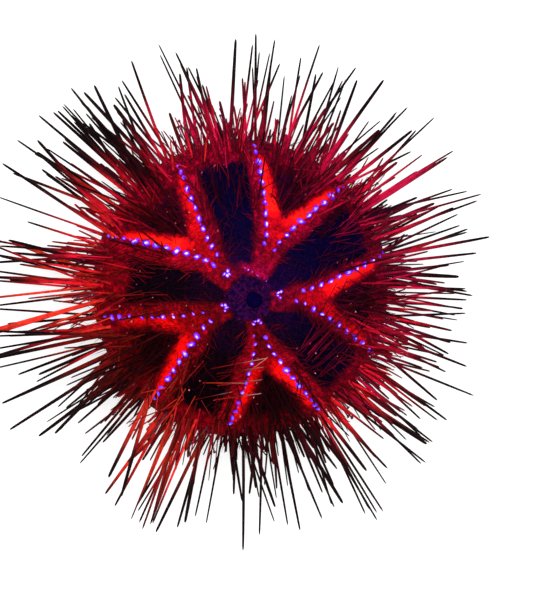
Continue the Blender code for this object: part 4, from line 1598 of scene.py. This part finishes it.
@dataclass
class SpineCoat(Growth):
    """All spines as joined meshes, one for each kind, with their collars."""

    seed: ClassVar[int] = 23
    # Brightness range by region: partly the spines' own tone, partly painted light and shade, down to near
    # black.
    brightness: ClassVar[dict[Region, Pair]] = {
        Region.UPPER: (0.005, 0.085),
        Region.PETAL: (0.08, 0.46),
        Region.AMBITAL: (0.02, 1.55),
        Region.LOWER: (0.01, 1.1),
        Region.ORAL: (0.1, 0.7),
        Region.LAID: (0.1, 0.42),
        Region.STANDING: (0.1, 0.7),
    }

    plan: SpinePlan
    main_sides: int = 9
    fine_sides: int = 7
    # Azimuth of the side painted as lit: spines and bristles facing it turn orange, partly painted light.
    painted_light_azimuth: float = radians(225.0)
    burnt_length: float = 16.0 * MM
    least_rise: float = 0.2
    skin_depth: float = 0.15 * MM
    standing_height: float = 0.06 * MM
    # Brighter and darker sectors round the axis: partly painted light and shade.
    patches: Pairs = (
        (2.0, 0.15), (15.0, -1.20), (27.0, 0.8), (36.0, 1.3), (53.0, 1.0), (75.0, -0.45), (107.0, 0.9),
        (120.0, -0.35), (135.0, -0.1), (164.0, 1.3), (183.0, 0.75), (210.0, -0.98), (226.0, 0.45),
        (241.0, 1.2), (250.0, 0.3), (259.0, -0.85), (270.0, -1.2), (290.0, -1.0), (300.0, -0.1),
        (314.0, 1.05), (332.0, 1.15),
    )
    patch_width: float = radians(13.0)
    clumps: float = 7.0
    clump_rise: float = 0.25
    clump_depth: float = 1.7
    red_sides: Pairs = (
        (28.0, 0.35), (50.0, -0.2), (72.0, -0.25), (104.0, 0.25), (130.0, -0.45), (178.0, 0.3),
        (210.0, -0.5), (238.0, 0.45), (262.0, -0.8), (290.0, -0.6),
    )
    side_width: float = radians(14.0)
    stations: Pairs = (
        (1.30, 0.0), (1.62, 0.012), (1.50, 0.026), (1.06, 0.04), (1.0, 0.12), (1.0, 0.40),
        (0.93, 0.65), (0.82, 0.85), (0.68, 0.965), (0.48, 0.99), (0.16, 1.0),
    )
    fine_stations: Pairs = (
        (1.2, 0.0), (1.3, 0.03), (1.0, 0.06), (0.97, 0.40), (0.90, 0.75), (0.7, 0.97), (0.2, 1.0),
    )

    def upper_gain(self, spine: Spine) -> float:
        """How much brighter an upper spine is than one in the middle of the darkest wedge."""
        shape = self.form.shape
        along, across, plate = shape.plan(spine.root.x, spine.root.y)
        rim = soft_step(radians(46.0), radians(60.0), spine.phi)
        near = bell(0.0, 2.8 * MM, shape.row_offset(along) - abs(across))
        near = (3.0 + 18.0 * soft_step(17.0 * MM, 22.0 * MM, along)) * near
        return float(2.0 * shape.wedge_glow[plate] + near + 9.0 * rim)

    def sum_of(self, humps: Pairs, width: float, azimuth: float) -> float:
        """Sum of smooth humps, each of an azimuth in degrees and a height, at an azimuth."""
        return sum(height * hump(radians(middle), width, azimuth) for middle, height in humps)

    def brightness_of(self, spine: Spine) -> float:
        """How bright a shaft is, partly own tone and partly painted light and shade: the upper ones are
        duskier than those at the ambitus.
        """
        least, most = self.brightness[spine.region]
        level = least + (most - least) * self.draw.random() ** 1.2
        side = polar(1.0, spine.azimuth, self.clump_rise * spine.phi) * self.clumps
        level *= max(0.1, 1.0 + self.clump_depth * noise.noise(side))
        if spine.region is Region.UPPER:
            level *= self.upper_gain(spine)
        if spine.region is Region.PETAL:
            level *= 1.0 - 0.7 * hump(self.plan.swept_petal, self.patch_width, spine.azimuth)
            level *= 0.3 + 0.7 * float(soft_step(radians(40.0), radians(54.0), spine.phi))
        return min(1.0, level * max(0.08, 1.0 + self.sum_of(self.patches, self.patch_width, spine.azimuth)))

    def set_spine(self, spine: Spine) -> None:
        """Set one spine, with its foot under the living skin.

        Args:
            spine: The spine as it was laid out.
        """
        draw = self.draw
        rise = max(self.least_rise, spine.direction.dot(spine.normal))
        sink = (1.3 * spine.width * math.sqrt(max(0.0, 1.0 - rise**2)) + self.skin_depth) / rise
        foot = self.form.place(spine.azimuth, spine.phi)[0]
        tip = spine.root + self.form.foot + spine.direction * spine.length
        if spine.region is Region.STANDING:
            tip.z = self.standing_height
        direction = (tip - foot).normalized()
        side = spine.direction.orthogonal().normalized()
        bow = Matrix.Rotation(draw.uniform(0.0, TURN), 3, spine.direction) @ side
        # Facing the lit side: shafts turn orange, partly painted light; laid spines facing away turn crimson
        # at 0.6 brightness, painted shade.
        facing = 0.5 + 0.5 * cos(spine.azimuth - self.painted_light_azimuth)
        laid = spine.region is Region.LAID
        crimson = laid and facing < 0.8
        width, spin = spine.width * draw.uniform(0.88, 1.1), draw.uniform(0.0, TURN)
        bow = bow * spine.length * draw.uniform(0.0, 0.02)
        red = self.sum_of(self.red_sides, self.side_width, spine.azimuth)
        values = {
            "tone": clamp(0.5 * draw.random() + red),
            "warmth": clamp(draw.gauss(0.05 + 0.72 * facing - 0.35 * crimson, 0.16)),
            "bright": self.brightness_of(spine) * (0.6 if crimson else 1.0),
            "burn": clamp(0.1 + spine.length / self.burnt_length),
            # Laid spines on the lit side get pale, painted highlight tips.
            "pale": draw.uniform(0.2, 1.0) if laid and not crimson else 0.0,
        }
        length, place = (tip - foot).length + sink, (spine.azimuth, spine.phi)
        foot = foot - direction * sink
        self.copies.append(Copy(foot, direction, width, length, place, 1.0, spin, bow, values))

    def build(self, finish: bpy.types.Material) -> None:
        """Build every spine and dress it with a material."""
        sizes = (("main", False, Mould(self.stations, self.main_sides)),)
        sizes += (("fine", True, Mould(self.fine_stations, self.fine_sides)),)
        for plate, broad, nodes in (("broad", True, BROAD_NODES), ("narrow", False, NARROW_NODES)):
            for size, fine, mould in sizes:
                for spine in self.plan.spines:
                    if spine.broad is broad and spine.fine is fine:
                        self.set_spine(spine)
                made = self.cast("%s_spines_%s" % (size, plate), mould)
                register(made, finish, "red_skin" if broad else "dark_skin", nodes)


def lying(normal: Vector, heading: float, rise: float) -> Vector:
    """Unit direction that runs over the skin towards an azimuth and stands off it by an angle."""
    flat = polar(1.0, heading, 0.0)
    flat = (flat - normal * flat.dot(normal)).normalized()
    return flat * cos(rise) + normal * sin(rise)


@dataclass
class Bristles(Growth):
    """Fine hair-like spines: the hems of the dark petals and the down between the spines."""

    seed: ClassVar[int] = 31
    each_row: int = 90
    each_petal: int = 14
    each_wedge: int = 100
    round_ambitus: int = 400
    row_lengths: Pair = (1.4 * MM, 3.4 * MM)
    down_lengths: Pair = (2.0 * MM, 4.6 * MM)
    widths: Pair = (0.035 * MM, 0.07 * MM)
    sides: int = 5
    stations: Pairs = ((1.3, 0.0), (1.0, 0.1), (0.85, 0.6), (0.15, 1.0))

    def set_on(self, place: Pair, heading: float, rise: float, length: float, bright: float) -> None:
        """Set one bristle.

        Args:
            place: Azimuth and angle from the top of its root.
            heading: Azimuth that it runs towards.
            rise: Angle that it stands off the skin, in degrees.
            length: Its length.
            bright: Its brightness.
        """
        draw = self.draw
        point, normal = self.form.place(*place)
        direction = lying(normal, heading, radians(rise))
        # Bristles facing the lit side turn warmer: partly painted light.
        facing = 0.5 + 0.5 * cos(place[0] - SpineCoat.painted_light_azimuth)
        foot = point - direction * 0.15 * MM - normal * 0.05 * MM
        width, spin = draw.uniform(*self.widths), draw.uniform(0.0, TURN)
        bow = normal * length * draw.uniform(-0.1, 0.15)
        values = {"tone": draw.random(), "warmth": clamp(draw.gauss(0.05 + 0.4 * facing, 0.12))}
        values.update(bright=bright, burn=0.3, pale=0.0)
        self.copies.append(Copy(foot, direction, width, length, place, 1.0, spin, bow, values))

    def hem(self, plate: int, side: int) -> None:
        """Set the bristles along the outer side of one row of spots.

        Args:
            plate: Number of the plate.
            side: 1 or -1, the side of its middle line.
        """
        shape, draw = self.form.shape, self.draw
        row = 2 * plate + (side < 0)
        width = shape.margins[row] * MM
        for _ in range(self.each_row):
            along = draw.uniform(6.5, 24.0) * MM
            out = draw.uniform(0.15, 1.15) * (width if along > 10.0 * MM else 0.6 * width)
            across = side * (float(shape.row_offset(along)) + out)
            place = shape.root_at(*shape.from_plate(plate, along, across))
            heading = shape.plate_azimuth(plate) + side * radians(draw.gauss(62.0, 24.0))
            bright = draw.uniform(0.05, 0.36) * (1.0 - 0.4 * min(1.0, out / width))
            bright *= shape.margin_glow[row] * (0.4 + 0.9 * along / (24.0 * MM))
            self.set_on(place, heading, draw.uniform(8.0, 32.0), draw.uniform(*self.row_lengths), bright)

    def petal(self, number: int) -> None:
        """Set the sparse long hairs inside one dark petal."""
        shape, draw = self.form.shape, self.draw
        for _ in range(self.each_petal):
            azimuth = shape.petal_azimuth(number) + draw.uniform(-0.17, 0.17)
            radius = (6.0 + 18.0 * draw.random() ** 0.7) * MM
            heading = azimuth + draw.gauss(0.0, 0.7)
            length, rise = draw.uniform(2.5, 5.5) * MM, draw.uniform(10.0, 40.0)
            place = shape.root_at(radius * cos(azimuth), radius * sin(azimuth))
            self.set_on(place, heading, rise, length, draw.uniform(0.02, 0.1))

    def wedge(self, plate: int) -> None:
        """Set the down of the wedge between the two arms of a bare band."""
        shape, draw = self.form.shape, self.draw
        for _ in range(self.each_wedge):
            along = draw.uniform(15.5, 25.0) * MM
            room = float(shape.row_offset(along)) - 1.2 * MM
            across = draw.uniform(-room, room)
            place = shape.root_at(*shape.from_plate(plate, along, across))
            heading, rise = place[0] + draw.gauss(0.0, 0.5), draw.uniform(15.0, 50.0)
            near = float(bell(room, 2.2 * MM, abs(across)) + soft_step(21.0 * MM, 25.0 * MM, along))
            bright = draw.uniform(0.01, 0.09) * (shape.wedge_glow[plate] + 2.5 * near)
            self.set_on(place, heading, rise, draw.uniform(*self.down_lengths), bright)

    def ambitus(self) -> None:
        """Set the down all round the widest part."""
        draw = self.draw
        for _ in range(self.round_ambitus):
            place = (draw.uniform(0.0, TURN), radians(draw.uniform(58.0, 100.0)))
            heading, rise = place[0] + draw.gauss(0.0, 0.3), draw.uniform(25.0, 65.0)
            self.set_on(place, heading, rise, draw.uniform(*self.down_lengths), draw.uniform(0.03, 0.9))

    def build(self, finish: bpy.types.Material) -> None:
        """Build all bristles and dress them with the spines' material."""
        for plate in range(5):
            self.hem(plate, 1)
            self.hem(plate, -1)
            self.petal(plate)
            self.wedge(plate)
        self.ambitus()
        register(self.cast("bristles", Mould(self.stations, self.sides)), finish, "red_skin")


@dataclass
class Pincers(Growth):
    """Stalked pincers: tiny pale or crimson heads on thin stalks, scattered over the skin."""

    seed: ClassVar[int] = 41
    bands: tuple[tuple[int, float, float], ...] = ((150, 22.0, 88.0), (60, 88.0, 150.0))
    lengths: Pair = (0.9 * MM, 2.0 * MM)
    widths: Pair = (0.11 * MM, 0.19 * MM)
    stray: float = 0.3
    pale_share: float = 0.28
    stalk: Colour = (0.12, 0.001, 0.01)
    crimson: Colour = (0.20, 0.002, 0.02)
    pale: Colour = (0.75, 0.22, 0.28)
    sides: int = 7
    stations: Pairs = (
        (0.34, 0.0), (0.26, 0.10), (0.22, 0.66), (0.40, 0.71), (0.92, 0.78), (1.0, 0.85), (0.78, 0.93),
        (0.25, 1.0),
    )

    def build(self) -> None:
        """Build and dress the pincers."""
        draw = self.draw
        for count, low, high in self.bands:
            for _ in range(count):
                place = (draw.uniform(0.0, TURN), radians(draw.uniform(low, high)))
                point, normal = self.form.place(*place)
                direction = (normal + self.aside(self.stray, 0.0, self.stray)).normalized()
                length, width = draw.uniform(*self.lengths), draw.uniform(*self.widths)
                bow = normal.orthogonal() * length * draw.uniform(-0.15, 0.15)
                light = draw.uniform(0.4, 1.0) if draw.random() < self.pale_share else draw.uniform(0.0, 0.25)
                foot = point - direction * 0.1 * MM
                copy = Copy(foot, direction, width, length, place, bow=bow, values={"light": light})
                self.copies.append(copy)
        paint = Paint("pincer", 0.5, 0.1)
        head = paint.mix(paint.attribute("light"), self.crimson, self.pale)
        paint.set("Base Color", paint.mix(paint.mask(paint.attribute("along"), 0.55, 0.75), self.stalk, head))
        made = self.cast("stalked_pincers", Mould(self.stations, self.sides))
        register(made, paint.material, "red_skin")


@dataclass
class TubeFeet(Growth):
    """Slender suckered feet in ten rows along the narrow plates, from above the ambitus down."""

    seed: ClassVar[int] = 43
    each_row: int = 17
    row_off: float = radians(7.5)
    lengths: Pair = (3.0 * MM, 6.5 * MM)
    widths: Pair = (0.13 * MM, 0.18 * MM)
    floor_clearance: float = 0.9 * MM
    least_length: float = 1.0 * MM
    sides: int = 8
    stations: Pairs = (
        (1.35, 0.0), (1.1, 0.08), (0.9, 0.3), (0.85, 0.6), (0.8, 0.86), (0.95, 0.91), (1.75, 0.945),
        (1.8, 0.975), (0.9, 1.0),
    )

    def build(self) -> None:
        """Build and dress the feet."""
        draw = self.draw
        for number in range(10):
            side = 1 if number % 2 else -1
            middle = self.form.shape.petal_azimuth(number // 2)
            for step in range(self.each_row):
                phi = radians(66.0 + 86.0 * (step + draw.uniform(0.2, 0.8)) / self.each_row)
                azimuth = middle + side * self.row_off * draw.uniform(0.8, 1.2)
                point, normal = self.form.place(azimuth, phi)
                direction = (normal + self.aside(0.25, -0.1, 0.25)).normalized()
                length = draw.uniform(*self.lengths)
                if direction.z < 0:
                    length = min(length, (point.z - self.floor_clearance) / max(0.05, -direction.z))
                if length < self.least_length:
                    continue
                foot, width = point - direction * 0.2 * MM, draw.uniform(*self.widths)
                bow = Vector((0.0, 0.0, -0.12 if phi < pi / 2 else 0.02)) * length
                spin = draw.uniform(0.0, TURN)
                self.copies.append(Copy(foot, direction, width, length, (azimuth, phi), 1.0, spin, bow))
        finish = TissueFinish("tube_foot", (0.16, 0.004, 0.02), (0.04, 0.001, 0.01), 0.45, 1500.0)
        register(self.cast("tube_feet", Mould(self.stations, self.sides)), finish.build(), "dark_skin")


@dataclass
class TopGrains(Growth):
    """Small plates of the periproct: low grains that crowd round the anus."""

    seed: ClassVar[int] = 47
    count: int = 110
    attempts: int = 20
    reach: float = 4.6
    widths: Pair = (0.16 * MM, 0.34 * MM)
    least_apart: float = 0.36 * MM
    anus_radius: float = 1.5 * MM
    ground: Colour = (0.003, 0.0002, 0.010)
    dark: Colour = (0.006, 0.0003, 0.020)
    light: Colour = (0.10, 0.001, 0.045)
    sides: int = 9
    stations: Pairs = ((1.0, -0.5), (1.0, 0.0), (0.92, 0.35), (0.65, 0.75), (0.2, 1.0))

    def set_grain(self, x: float, y: float) -> None:
        """Set one grain at a distance from the apical centre."""
        draw, apical = self.draw, self.form.shape.apical
        place = self.form.shape.root_at(x + apical[0], y + apical[1])
        point, normal = self.form.place(*place)
        width, flat, spin = draw.uniform(*self.widths), draw.uniform(0.7, 1.0), draw.uniform(0.0, TURN)
        foot, height = point - normal * 0.08 * MM, 0.7 * width + 0.08 * MM
        values = {"light": draw.random() ** 2}
        self.copies.append(Copy(foot, normal, width, height, place, flat, spin, values=values))

    def build(self) -> None:
        """Build and dress the grains."""
        draw, shape = self.draw, self.form.shape
        placed: list[Pair] = []
        for _ in range(self.count * self.attempts):
            if len(placed) == self.count:
                break
            x, y = draw.uniform(-self.reach, self.reach) * MM, draw.uniform(-self.reach, self.reach) * MM
            outside = shape.periproct_edge(x, y) > draw.uniform(-0.7, 0.25) * MM
            from_anus = hypot(x - shape.anal_offset[0], y - shape.anal_offset[1])
            near = min((hypot(x - u, y - v) for u, v in placed), default=1.0)
            if not outside and from_anus >= self.anus_radius and near >= self.least_apart:
                placed.append((x, y))
                self.set_grain(x, y)
        paint = Paint("periproct_grain", 0.5, 0.04)
        tint = paint.mix(paint.attribute("light"), self.dark, self.light)
        paint.set("Base Color", paint.mix(paint.mottle(1600.0, 4000.0)[0], self.ground, tint))
        made = self.cast("periproct_grains", Mould(self.stations, self.sides))
        register(made, paint.material, "periproct_skin")


@dataclass
class Gills(Growth):
    """Ten bushes of gills round the mouth."""

    seed: ClassVar[int] = 53
    off: float = radians(21.0)
    phi: float = radians(160.0)
    each: int = 11
    lengths: Pair = (1.1 * MM, 1.9 * MM)
    widths: Pair = (0.16 * MM, 0.26 * MM)
    sides: int = 7
    stations: Pairs = (
        (0.7, 0.0), (0.8, 0.3), (1.15, 0.45), (0.8, 0.58), (1.05, 0.74), (0.75, 0.86), (0.25, 1.0),
    )

    def build(self) -> None:
        """Build and dress the gills."""
        draw = self.draw
        for number in range(10):
            side = 1 if number % 2 else -1
            place = (self.form.shape.plate_azimuth(number // 2) + side * self.off, self.phi)
            point, normal = self.form.place(*place)
            for _ in range(self.each):
                aside = self.aside(0.45, -0.2, 0.25)
                direction = (normal + aside).normalized()
                foot = point - direction * 0.3 * MM + aside * 0.7 * MM
                width, length = draw.uniform(*self.widths), draw.uniform(*self.lengths)
                spin, bow = draw.uniform(0.0, TURN), aside * 0.3 * MM
                self.copies.append(Copy(foot, direction, width, length, place, 1.0, spin, bow))
        finish = TissueFinish("gill", (0.42, 0.10, 0.09), (0.14, 0.010, 0.018), size=1800.0)
        register(self.cast("gills", Mould(self.stations, self.sides)), finish.build(), "oral_skin")


@dataclass
class MouthFeet(Growth):
    """Ten stout feet on the mouth's membrane."""

    seed: ClassVar[int] = 53
    radius: float = 5.4 * MM
    height: float = 7.0 * MM
    off: float = radians(9.0)
    phi: float = radians(166.0)
    lengths: Pair = (1.9 * MM, 2.4 * MM)
    widths: Pair = (0.36 * MM, 0.42 * MM)
    sides: int = 12
    stations: Pairs = (
        (1.1, 0.0), (0.95, 0.25), (0.8, 0.6), (0.9, 0.78), (1.35, 0.86), (1.35, 0.95), (0.7, 1.0),
    )

    def build(self) -> None:
        """Build and dress the feet."""
        for number in range(10):
            side = 1 if number % 2 else -1
            azimuth = self.form.shape.petal_azimuth(number // 2) + side * self.off
            foot = polar(self.radius, azimuth, self.height) + self.form.foot
            direction = polar(0.25, azimuth, -1.0).normalized()
            width, length = self.draw.uniform(*self.widths), self.draw.uniform(*self.lengths)
            self.copies.append(Copy(foot, direction, width, length, (azimuth, self.phi), 0.8, azimuth))
        finish = TissueFinish("mouth_foot", (0.36, 0.05, 0.05), (0.16, 0.010, 0.016), size=1500.0)
        register(self.cast("mouth_feet", Mould(self.stations, self.sides)), finish.build(), "oral_skin")


def dress_solids() -> None:
    """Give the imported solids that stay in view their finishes."""
    tooth = TissueFinish("tooth", (0.80, 0.76, 0.68), (0.62, 0.56, 0.46), 0.3, 700.0).build()
    anus = TissueFinish("anus", (0.002, 0.0002, 0.030), (0.001, 0.0001, 0.012), 0.7, 1500.0, 0.01).build()
    for name in TOOTH_NODES + ("anal_cone",):
        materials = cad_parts[name].data.materials
        materials.clear()
        materials.append(tooth if name in TOOTH_NODES else anus)
    LOG.info("teeth and anal cone dressed")


@dataclass
class Studio:
    """Plain pale floor, soft lights and the camera."""

    foot: Vector
    picture_focal: float = 1750.0
    picture_height: float = 599.0
    sensor: float = 36.0
    camera_offset: Triple = (-41.3 * MM, 16.06 * MM, 340.56 * MM)
    tilt: Triple = (0.056, 0.139, 0.060)
    aim: Triple = (0.0, 0.0, 0.015)
    floor_size: float = 3.0
    floor_dark: Colour = (0.35, 0.35, 0.35)
    floor_light: Colour = (0.37, 0.37, 0.37)
    floor_glow: float = 0.72
    surround: float = 0.5

    def floor(self) -> None:
        """White floor under the urchin."""
        deselect_all()
        bpy.ops.mesh.primitive_plane_add(size=self.floor_size, location=(0.0, 0.0, 0.0))
        made = bpy.context.object
        made.name = "floor"
        bpy.ops.object.mode_set(mode="EDIT")
        bpy.ops.mesh.subdivide(number_cuts=3)
        bpy.ops.object.mode_set(mode="OBJECT")
        paint = Paint("floor_white", 0.9, 0.0)
        paint.set("Base Color", paint.mix(paint.noise(8.0, 2.0, 0.4), self.floor_dark, self.floor_light))
        paint.set("Emission Color", (1.0, 1.0, 1.0))
        paint.set("Emission Strength", self.floor_glow)
        made.data.materials.append(paint.material)

    def put(self, name: str, data: bpy.types.ID) -> bpy.types.Object:
        """Put a light or a camera in the scene."""
        made = bpy.data.objects.new(name, data)
        bpy.context.scene.collection.objects.link(made)
        return made

    def light(self, name: str, place: Triple, size: float, power: float) -> None:
        """Hang a square soft light that is aimed at the urchin.

        Args:
            name: Its name.
            place: Where it hangs.
            size: Its side.
            power: Its power in watts.
        """
        data = bpy.data.lights.new(name, "AREA")
        data.shape = "SQUARE"
        data.size = size
        data.energy = power
        made = self.put(name, data)
        made.location = place
        made.rotation_euler = (Vector(self.aim) - Vector(place)).to_track_quat("-Z", "Y").to_euler()

    def camera(self) -> None:
        """Camera above the urchin at the viewing angle of the picture."""
        data = bpy.data.cameras.new("camera")
        data.lens = self.picture_focal * self.sensor / self.picture_height
        data.sensor_width = self.sensor
        data.sensor_fit = "AUTO"
        data.clip_start = 0.01
        made = self.put("camera", data)
        turn = Matrix.Identity(3)
        for angle, axis in zip(self.tilt, "XYZ"):
            turn = Matrix.Rotation(angle, 3, axis) @ turn
        place = turn.transposed().to_4x4()
        place.translation = Vector(self.camera_offset) + self.foot
        made.matrix_world = place
        bpy.context.scene.camera = made

    def build(self) -> None:
        """Set floor, lights, surroundings and camera."""
        self.floor()
        self.light("key_light", (-0.25, 0.30, 0.75), 0.45, 8.5)
        self.light("fill_light", (0.45, -0.30, 0.60), 0.55, 3.6)
        world = bpy.data.worlds.new("surroundings")
        bpy.context.scene.world = world
        world.use_nodes = True
        background = world.node_tree.nodes["Background"]
        background.inputs["Color"].default_value = (1.0, 1.0, 1.0, 1.0)
        background.inputs["Strength"].default_value = self.surround
        bpy.context.scene.view_settings.view_transform = "Standard"
        self.camera()
        LOG.info("studio set")


def main() -> None:
    """Build the whole urchin and its studio."""
    logging.basicConfig(level=logging.INFO, format="%(name)s: %(message)s")
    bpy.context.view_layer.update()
    low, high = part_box("peristome")
    foot = Vector((0.5 * (low.x + high.x), 0.5 * (low.y + high.y), 0.0))
    form = SkinForm(ShellShape(), foot)
    add_mottle_group()
    Skin(form).build()
    BlueSpots(form).build()
    plan = SpinePlan(form)
    plan.lay_out()
    spine_finish = SpineFinish().build()
    SpineCoat(form, plan).build(spine_finish)
    Bristles(form).build(spine_finish)
    for growth in (Pincers, TubeFeet, TopGrains, Gills, MouthFeet):
        growth(form).build()
    dress_solids()
    Studio(foot).build()


if __name__ == "__main__":
    main()
